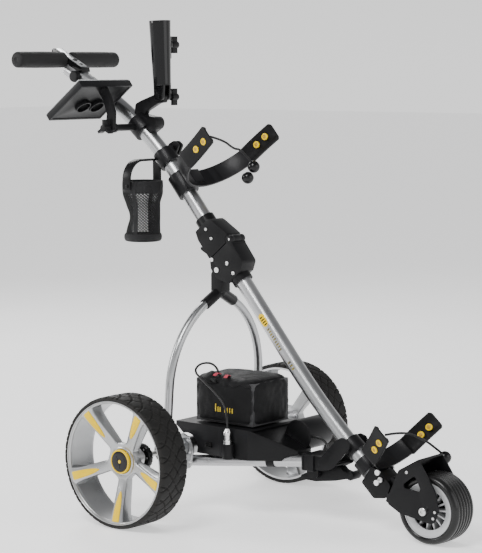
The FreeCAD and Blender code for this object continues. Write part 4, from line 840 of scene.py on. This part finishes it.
def studs(name, spots, axis, body):
    """Round yellow plugs with a darker centre."""
    rings, centres, radius, lift = Shape(), Shape(), 7.6, 3.0
    for spot in spots:
        place = basis(spot, axis)
        rings.lathe([(-1, radius * 0.4), (-1, radius), (lift * 0.6, radius), (lift, radius * 0.86),
                     (lift, radius * 0.62), (lift * 0.62, radius * 0.56), (lift * 0.55, radius * 0.4)], place,
                    36)
        centres.lathe([(-1, 0.2), (-1, radius * 0.58), (lift * 0.62, radius * 0.57),
                       (lift * 0.86, radius * 0.4), (lift * 0.92, 0.2)], place, 30)
    piece(name + "_rings", rings, body, "yellow_trim")
    piece(name + "_centres", centres, body, "yellow_trim", look=EXTRA["amber"])


for name, side, outward, spots in (
        ("upper_studs_right", -1, True, [(75.9, -115.4, 822.1), (52.0, -112.0, 804.8)]),
        ("upper_studs_left", 1, False, [(70.7, 104.6, 826), (48.4, 103.0, 807.6)]),
        ("upper_studs_outer", 1, True, [(70.7, 114.0, 826), (48.4, 112.0, 807.6)]),
        ("lower_studs_right", -1, True, [(524.7, -94.4, 214.6), (507.2, -85.0, 197.2)]),
        ("lower_studs_left", 1, False, [(527.2, 87.0, 221.1), (511.0, 80.6, 203.3)]),
        ("lower_studs_outer", 1, True, [(527.2, 97.4, 221.1), (511.0, 89.6, 203.3)])):
    upper = name.startswith("upper")
    off, plate = (OFF, UPPER_PLATE) if upper else (LOWER_OFF, LOWER_PLATE)
    studs(name, spots, pad_face(off, plate, side, outward), "handle" if upper else "frame")


def balls(name, node, spots, body):
    """Moulded balls with a seam ridge and a hole for the knot."""
    shape = Shape()
    for spot in spots:
        profile = [(-11.5, 1.8), (-13.4, 2.4)]
        for i in range(3, 30):
            turn = math.pi * i / 32
            seam = 0.25 * math.exp(-((i - 16) / 0.9) ** 2)
            profile.append((-13.9 * math.cos(turn), 14.0 * math.sin(turn) + seam - 0.25))
        profile += [(13.4, 2.4), (11.5, 1.8)]
        shape.lathe(profile, basis(spot, (0.2, -0.5, 0.9)), 40)
    piece(name, shape, body, "black_gloss", (node,), sharp=60)


balls("upper_balls", "upper_toggles", [(71.4, 42.0, 736.6), (75.7, 58.2, 760.4)], "handle")
balls("lower_balls", "lower_toggles", [(583.5, 62.4, 166.6), (576.5, 62.4, 137.8)], "frame")


# --- handle grips
HANDLE_BAR_X, HANDLE_BAR_Z, GRIP_GAP, GRIP_REACH = -440, 999, 14, 141.0


def handle_grips():
    """Foam sleeves that swell a little in the middle, with rounded end caps."""
    for tag, sign in (("left", 1), ("right", -1)):
        outline = [(0.3, 9.2), (0.1, 15.8), (0.5, 17.4), (2.0, 18.4)]
        for i in range(44):
            h = 4 + i * (GRIP_REACH / 43)
            swell = 0.55 * math.sin(math.pi * (h - 4) / 141) - 0.45
            outline.append((h, 19.0 + swell - 0.35 * math.exp(-((h - 128) / 1.2) ** 2)))
        outline += [(148.4, 18.2), (150.8, 16.9), (152.3, 14.8), (152.9, 12.0), (152.9, 6.5), (151.4, 5.6),
                    (150.8, 0.4), (147, 0.4), (147, 9.2)]
        rings, steps = [], 56
        for h, radius in outline:
            ring = []
            for j in range(steps):
                x, y = math.cos(TAU * j / steps), math.sin(TAU * j / steps)
                lump = 0.22 * noise.noise(Vector((x * 2, y * 2, h * 0.05 + sign * 7))) if radius > 14 else 0
                ring.append(((radius + lump) * x, (radius + lump) * y, h))
            rings.append(ring)
        place = basis((HANDLE_BAR_X, sign * GRIP_GAP, HANDLE_BAR_Z), (0, sign, 0), (1, 0, 0))
        grip = piece("foam_grip_" + tag, Shape().grid(rings, place, loop=True), "handle", "grip_foam",
                     ("grips",), sharp=55)


handle_grips()


# --- battery bag
BAG_CENTRE, BAG_HALF = Vector((89, 0, 249.6)), Vector((85.5, 69.5, 52.2))


def signed_power(value, power):
    return math.copysign(abs(value) ** power, value)


def bag_point(p):
    """The bag's surface in the direction p: crowned panels, slack, creases and sagging corners."""
    power = 7.0
    q = p / (abs(p.x) ** power + abs(p.y) ** power + abs(p.z) ** power) ** (1 / power)
    flat_x, flat_y, flat_z = 1 - q.x ** 2, 1 - q.y ** 2, 1 - q.z ** 2
    point = Vector((q.x * BAG_HALF.x + flat_y * flat_z * 1.8 * signed_power(q.x, 6),
                    q.y * BAG_HALF.y + flat_x * flat_z * 2.6 * signed_power(q.y, 6),
                    q.z * BAG_HALF.z + flat_x * flat_y * 1.4 * signed_power(q.z, 6)))
    slack = noise.noise(Vector((point.x * 0.045, point.y * 0.045, point.z * 0.022)) + Vector((3.1, 7.7, 1.2)))
    creases = abs(noise.noise(Vector((point.x * 0.085, point.y * 0.085, point.z * 0.03)) + Vector((9, 2, 5))))
    normal = Vector((signed_power(q.x, 5), signed_power(q.y, 5), signed_power(q.z, 5) * 0.4))
    fade = smooth_step(-1.0, -0.75, q.z)
    point += normal * (1.6 * slack - 3.0 * max(0.0, 0.16 - creases) / 0.16 * 0.55) * fade
    corner = math.exp(-((abs(q.x) - 1) ** 2 + (abs(q.y) - 1) ** 2) / 0.03)
    sag = corner * (1.2 + 1.2 * math.sin(point.z * 0.18)) * fade
    point -= Vector((math.copysign(1.0, q.x), math.copysign(1.0, q.y), 0)) * sag
    return BAG_CENTRE + point


def bag_shell():
    """The stuffed shell, as six panels that share their edges."""
    count = 34
    spread = [math.sin((i / count - 0.5) * math.pi * 0.98) / math.sin(math.pi * 0.49)
              for i in range(count + 1)]
    shape = Shape()
    for axis in range(3):
        for sign in (-1, 1):
            rings = []
            for u in spread:
                ring = []
                for v in spread:
                    p = Vector((0, 0, 0))
                    p[axis], p[(axis + 1) % 3], p[(axis + 2) % 3] = sign, u, v
                    ring.append(bag_point(p))
                rings.append(ring)
            shape.grid(rings, around=False)
    bag = piece("battery_bag_soft", shape, "lower_frame", "bag_fabric", ("battery_bag",), sharp=70,
                merge=True)


def bag_flap():
    """The lid: a sheet over the top that hangs down both sides, rucked where the cable leaves."""
    lid, columns, rows, top = [], 60, 52, 0.84
    for i in range(rows + 1):
        a = -0.985 + 1.97 * i / rows
        wrap = 0.26 + 0.05 * math.sin(a * 7) + 0.04 * math.sin(a * 17 + 1)
        upper, under = [], []
        for j in range(columns + 1):
            t = j / columns * 2 - 1
            if abs(t) <= top:
                point = bag_point(Vector((a, t / top, 1.0)))
            else:
                point = bag_point(Vector((a, math.copysign(1, t), 1.0 - (abs(t) - top) / 0.16 * wrap)))
            away = Vector((0, 0, 1)) if abs(t) < 0.8 else Vector((0, math.copysign(1, t), 0.5)).normalized()
            ripple = noise.noise(Vector((point.x * 0.05, point.y * 0.06, 2.3)))
            ruck = math.exp(-((a + 0.55) / 0.42) ** 2) * math.exp(-((t + 0.62) / 0.3) ** 2)
            lift = 2.6 + 1.2 * ripple + ruck * (4.2 + 3.4 * math.sin(point.x * 0.16 + point.y * 0.1))
            lift += 2.2 * math.exp(-((a + 0.97) / 0.06) ** 2)
            upper.append(point + away * lift)
            under.append(point + away * max(0.4, lift - 2.0))
        lid.append(upper + under[::-1])
    flap = piece("battery_bag_flap", Shape().grid(lid), "lower_frame", "bag_fabric", sharp=60)


def bag_details():
    """Piping along the lower and upright seams, plain yellow bars on the front, and two red pull tabs."""
    seams = Shape()
    for side in (-1, 1):
        tube(seams, [bag_point(Vector((-0.9 + 1.8 * i / 60, side, -0.9))) + Vector((0, side * 0.4, 0))
                     for i in range(61)], 1.1)
    for along in (-1, 1):
        for side in (-1, 1):
            tube(seams,
                 [bag_point(Vector((along, side, -0.85 + 1.5 * i / 30))) + Vector((along, side, 0)) * 0.4
                  for i in range(31)], 1.2)
    piece("battery_bag_piping", seams, "lower_frame", "bag_fabric", look=EXTRA["tape"])
    marks, width, face, foot = Shape(), 2.2, -72.6, 227
    for x, height in ((70, 17), (77, 11), (83, 11), (96, 11), (103, 11), (110, 11), (117, 11)):
        outline = [(0, 0), (width, 0), (width, height * 0.3), (width, height * 0.7), (width, height),
                   (0, height), (0, height * 0.7), (0, height * 0.3)]
        marks.grid([[(x + dx, face + depth, foot + dz) for dx, dz in outline] for depth in (1.4, 0.2, 0.0)])
    piece("battery_bag_bars", marks, "lower_frame", "yellow_trim", look=EXTRA["stitch"])
    tabs = Shape()
    for x, z, lean in ((92, 305, 0.5), (66, 306.5, -0.3)):
        ribbon(tabs,
               [Vector((x + lean * k * 0.9, -50 - k * 2.6, z + 3.2 * math.sin(k * 0.52))) for k in range(8)],
               Vector((1, 0.15, 0)), 8.5, 1.1)
    piece("battery_bag_tabs", tabs, "lower_frame", "yellow_trim", look=EXTRA["red_tab"])


bag_shell()
bag_flap()
bag_details()


# --- drink cup
CUP = Vector((-150, -60, 727))


def cup_wall(angle, t, lift=0.0):
    """A point of the net's surface: t is 0 at the rim and 1 at the base."""
    radius = 44.6 - 6.4 * smooth_step(0.0, 0.3, t) - 0.6 * math.sin(math.pi * t)
    slack = noise.noise(Vector((math.cos(angle) * 1.6, math.sin(angle) * 1.6, t * 3.2)))
    middle = math.sin(math.pi * min(1, max(0, t)))
    left = max(0.0, math.cos(angle - math.radians(222))) ** 3
    dent = math.exp(-((t - 0.62) / 0.24) ** 2)
    radius += middle * 1.8 * slack - 9.5 * left * dent + lift
    z = -24 - 96 * t
    return CUP + Vector((radius * math.cos(angle), radius * math.sin(angle), z))


def mesh_cup():
    """A net of crossing threads between a rim and a base, with two straps and the yoke's pivots."""
    net = Shape()
    threads, steps, turn = 34, 30, 15
    for lean in (1, -1):
        for start in range(threads):
            path = [cup_wall(TAU * (start + lean * turn * k / steps) / threads, k / steps, 0.25 * lean)
                    for k in range(steps + 1)]
            tube(net, path, 1.3, 5, ends=False)
    piece("cup_net", net, "cup", "mesh_fabric", ("mesh_cup",), sharp=60)
    solid, place = Shape(), basis(CUP, (0, 0, 1), (1, 0, 0))
    rings = []
    for h, r in ((0.2, 43.6), (0.9, 44.4), (0.6, 45.6), (-0.8, 46), (-10, 46.3), (-22, 46.0), (-26.4, 45.2),
                 (-26.8, 44.2), (-24, 43.4), (-10, 43.8), (-1, 43.4)):
        wavy = [(TAU * j / 72, r + 0.25 * math.sin(7 * TAU * j / 72)) for j in range(72)]
        rings.append([(reach * math.cos(angle), reach * math.sin(angle), h) for angle, reach in wavy])
    solid.grid(rings, place, loop=True)
    solid.lathe([(-136, 0.3), (-136, 36), (-135, 39.6), (-132, 41.9), (-128, 42.8), (-122, 42.6),
                 (-118.6, 41), (-118, 39.6), (-119.4, 38.6), (-126, 39.4), (-129.5, 38), (-130, 0.3)], place,
                72)
    piece("cup_rim_and_base", solid, "cup", "mesh_fabric", look=EXTRA["tape"], sharp=50)
    straps = Shape()
    for angle in (math.radians(-74), math.radians(106)):
        path = [cup_wall(angle, t / 14, 1.2) for t in range(-1, 16)]
        ribbon(straps, path, Vector((-math.sin(angle), math.cos(angle), 0)), 9, 1.4)
    piece("cup_straps", straps, "cup", "mesh_fabric", look=EXTRA["tape"], sharp=50)
    pivots = Shape()
    for side in (1, -1):
        pivots.lathe([(0, 0.3), (0, 6.4), (1.4, 6.4), (1.9, 4), (10.1, 4), (10.4, 3.6), (10.4, 0.3)],
                     basis(CUP + Vector((0, side * 45.2, -10)), (0, side, 0)), 28)
    piece("cup_pivots", pivots, "cup", "black_moulding")


mesh_cup()


# --- badge, label, clip and tube end block
def decal(shape, u, half_length, angle, half_angle, lift, corner):
    """A thin oblong patch wrapped on the right of the lower tube, angle degrees round from straight right."""
    rings = []
    for i in range(13):
        t = -1 + i / 6
        reach = half_angle * (1 - abs(t) ** corner) ** (1 / corner) if abs(t) < 1 else half_angle * 0.05
        centre = fold_point(u + half_length * t, bow_at(u + half_length * t))
        outer, inner = [], []
        for j in range(9):
            turn = math.radians(angle + reach * (j / 4 - 1))
            away = OFF * math.sin(turn) - Vector((0, 1, 0)) * math.cos(turn)
            outer.append(centre + away * (18.0 + lift))
            inner.append(centre + away * 17.6)
        rings.append(outer + inner[::-1])
    shape.grid(rings)


def bow_at(u):
    """How far the lower tube's centre line lies off the fold's straight line."""
    return (u - 298) ** 2 / 3400 if u > 298 else 0.0


def tube_badge():
    """A plain yellow patch with dark bars, a row of dashes and three ticks."""
    head, bars, dashes = Shape(), Shape(), Shape()
    decal(head, 190, 16, 6, 26, 0.35, 3)
    for offset, half in ((-7, 13), (-1, 17), (5, 17), (11, 12)):
        decal(bars, 190 + offset, 1.4, 6 + offset * 0.2, half, 0.6, 8)
    for index in range(9):
        decal(dashes, 214 + index * 6.6, 2.0, 3 + 2.2 * math.sin(index * 2.1), 13 - 2.5 * (index % 2), 0.3, 6)
    for index in range(3):
        decal(dashes, 303 + index * 8, 2.4, 8, 12, 0.3, 6)
    piece("tube_badge_head", head, "frame", "yellow_trim", sharp=60)
    piece("tube_badge_bars", bars, "frame", "black_moulding", sharp=60)
    piece("tube_badge_dashes", dashes, "frame", "yellow_trim", look=EXTRA["badge"], sharp=60)


def tray_clip():
    """The tag on the bag's front, and three ribs on the tray below it."""
    clip = Shape()
    ribbon(clip, [Vector((64, -72.4 - 0.6 * math.sin(k * 0.5), 300 - 5.1 * k)) for k in range(0, 3)],
           Vector((1, 0, 0)), 16, 1.4)
    for z in (148, 152.5, 157):
        clip.grid([[(56 + dx, y, z + dz) for dx, dz in ((0, 0), (17, 0), (17, 2.4), (0, 2.4))]
                   for y in (-91.0, -87.0)])
    piece("tray_clip", clip, "lower_frame", "black_gloss")


def pod_label():
    """A plain plate with cut corners on top of the control pod."""
    label = Shape()
    start, end = Vector((-470, 0, 1026.8)), Vector((-378, 0, 979.3))
    heading = (end - start).normalized()
    up = heading.cross(Vector((0, 1, 0)))
    up = up if up.z > 0 else -up
    rings = []
    for lift, inset in ((0.0, 0.0), (0.7, 0.0), (1.0, 0.5)):
        rings.append([start + heading * (a + (inset if a < 50 else -inset))
                      + Vector((0, y - math.copysign(inset, y), 0)) + up * lift
                      for a, y in ((8, -11), (92, -11), (96, -8), (96, 8), (92, 11), (8, 11), (4, 8), (4, -8))])
    label.grid(rings)
    piece("pod_label", label, "handle", "rim_silver", look=EXTRA["label"])


def rounded_box(x, inset):
    """The end block's rounded outline, across x and drawn in by inset."""
    ring, half, low, high, corner = [], 34.4, 115.5, 150.6, 3.0
    for turn, (sy, sz) in enumerate(((1, 1), (-1, 1), (-1, -1), (1, -1))):
        centre_y = sy * (half - inset - corner)
        centre_z = (high - inset - corner) if sz > 0 else (low + inset + corner)
        for step in range(5):
            angle = TAU * (turn + step / 4) / 4
            ring.append((x, centre_y + corner * math.cos(angle), centre_z + corner * math.sin(angle)))
    return ring


def tube_end_block():
    """The black block that takes the front ends of both lower tubes, and the strap round the right one."""
    shape = Shape()
    shape.grid([rounded_box(x, inset) for x, inset in ((278.6, 2.6), (278.8, 1.3), (279.5, 0.4), (280.8, 0.0),
                                                       (284.2, 0.0), (284.8, 0.9), (285.6, 0.9), (286.2, 0.0),
                                                       (309.0, 0.0), (310.4, 0.4), (311, 1.6))])
    rear_end, along = Vector((-16, -85.3, 108.7)), Vector((308, 68.3, 25.9))
    place = basis(rear_end + along * 0.7045, along.normalized())
    shape.lathe([(-9.4, 12.0), (-9.8, 13.4), (-9.2, 14.2), (9.2, 14.2), (9.8, 13.4), (9.4, 12.0)], place, 40)
    piece("tube_end_block", shape, "lower_frame", "black_moulding")


tube_end_block()
tray_clip()
pod_label()
tube_badge()


# --- floor, light and world
def lay_floor():
    """A plain pale floor that glows a little, so that it meets the backdrop without a line."""
    n, reach = Nodes("floor_paint"), 30.0
    tone = n.noise(3, 4)
    n.finish(n.ramp(tone, [(0.3, (0.86, 0.86, 0.86)), (0.7, (0.89, 0.89, 0.89))]), n.range(tone, 0.75, 0.85))
    n.put("Emission Color", (1, 1, 1, 1))
    n.put("Emission Strength", 0.72)
    mesh = bpy.data.meshes.new("floor")
    mesh.from_pydata([(-reach, -reach, 0), (reach, -reach, 0), (reach, reach, 0), (-reach, reach, 0)], [],
                     [(0, 1, 2, 3)])
    mesh.materials.append(n.material)
    floor = bpy.data.objects.new("floor", mesh)
    bpy.context.scene.collection.objects.link(floor)


def make_world():
    """A backdrop that is white at the horizon and darker overhead."""
    world = bpy.data.worlds.new("studio")
    world.use_nodes = True
    tree = world.node_tree
    split = tree.nodes.new("ShaderNodeSeparateXYZ")
    ramp = tree.nodes.new("ShaderNodeValToRGB")
    horizon, overhead = ramp.color_ramp.elements
    horizon.color = (1, 1, 1, 1)
    overhead.position, overhead.color = 0.7, (0.22, 0.22, 0.225, 1)
    tree.links.new(tree.nodes.new("ShaderNodeTexCoord").outputs["Generated"], split.inputs[0])
    tree.links.new(split.outputs["Z"], ramp.inputs["Fac"])
    tree.links.new(ramp.outputs["Color"], tree.nodes["Background"].inputs["Color"])
    tree.nodes["Background"].inputs["Strength"].default_value = 1.25
    bpy.context.scene.world = world


def place_lights():
    """Four soft boxes, all turned to the trolley's middle."""
    middle = Vector((0, 0, 0.5))
    for name, place, size, power in (("key", (0.4, -2.6, 3.4), 1.5, 120), ("fill", (3.4, 0.6, 1.6), 2.4, 30),
                                     ("back", (-2.6, 1.8, 2.6), 1.5, 60),
                                     ("side", (-2.6, -2.0, 1.6), 1.0, 36)):
        data = bpy.data.lights.new(name, "AREA")
        data.energy, data.size = power, size
        light = bpy.data.objects.new(name, data)
        light.location = place
        light.rotation_euler = (Vector(place) - middle).to_track_quat("Z", "Y").to_euler()
        bpy.context.scene.collection.objects.link(light)


lay_floor()
make_world()
place_lights()
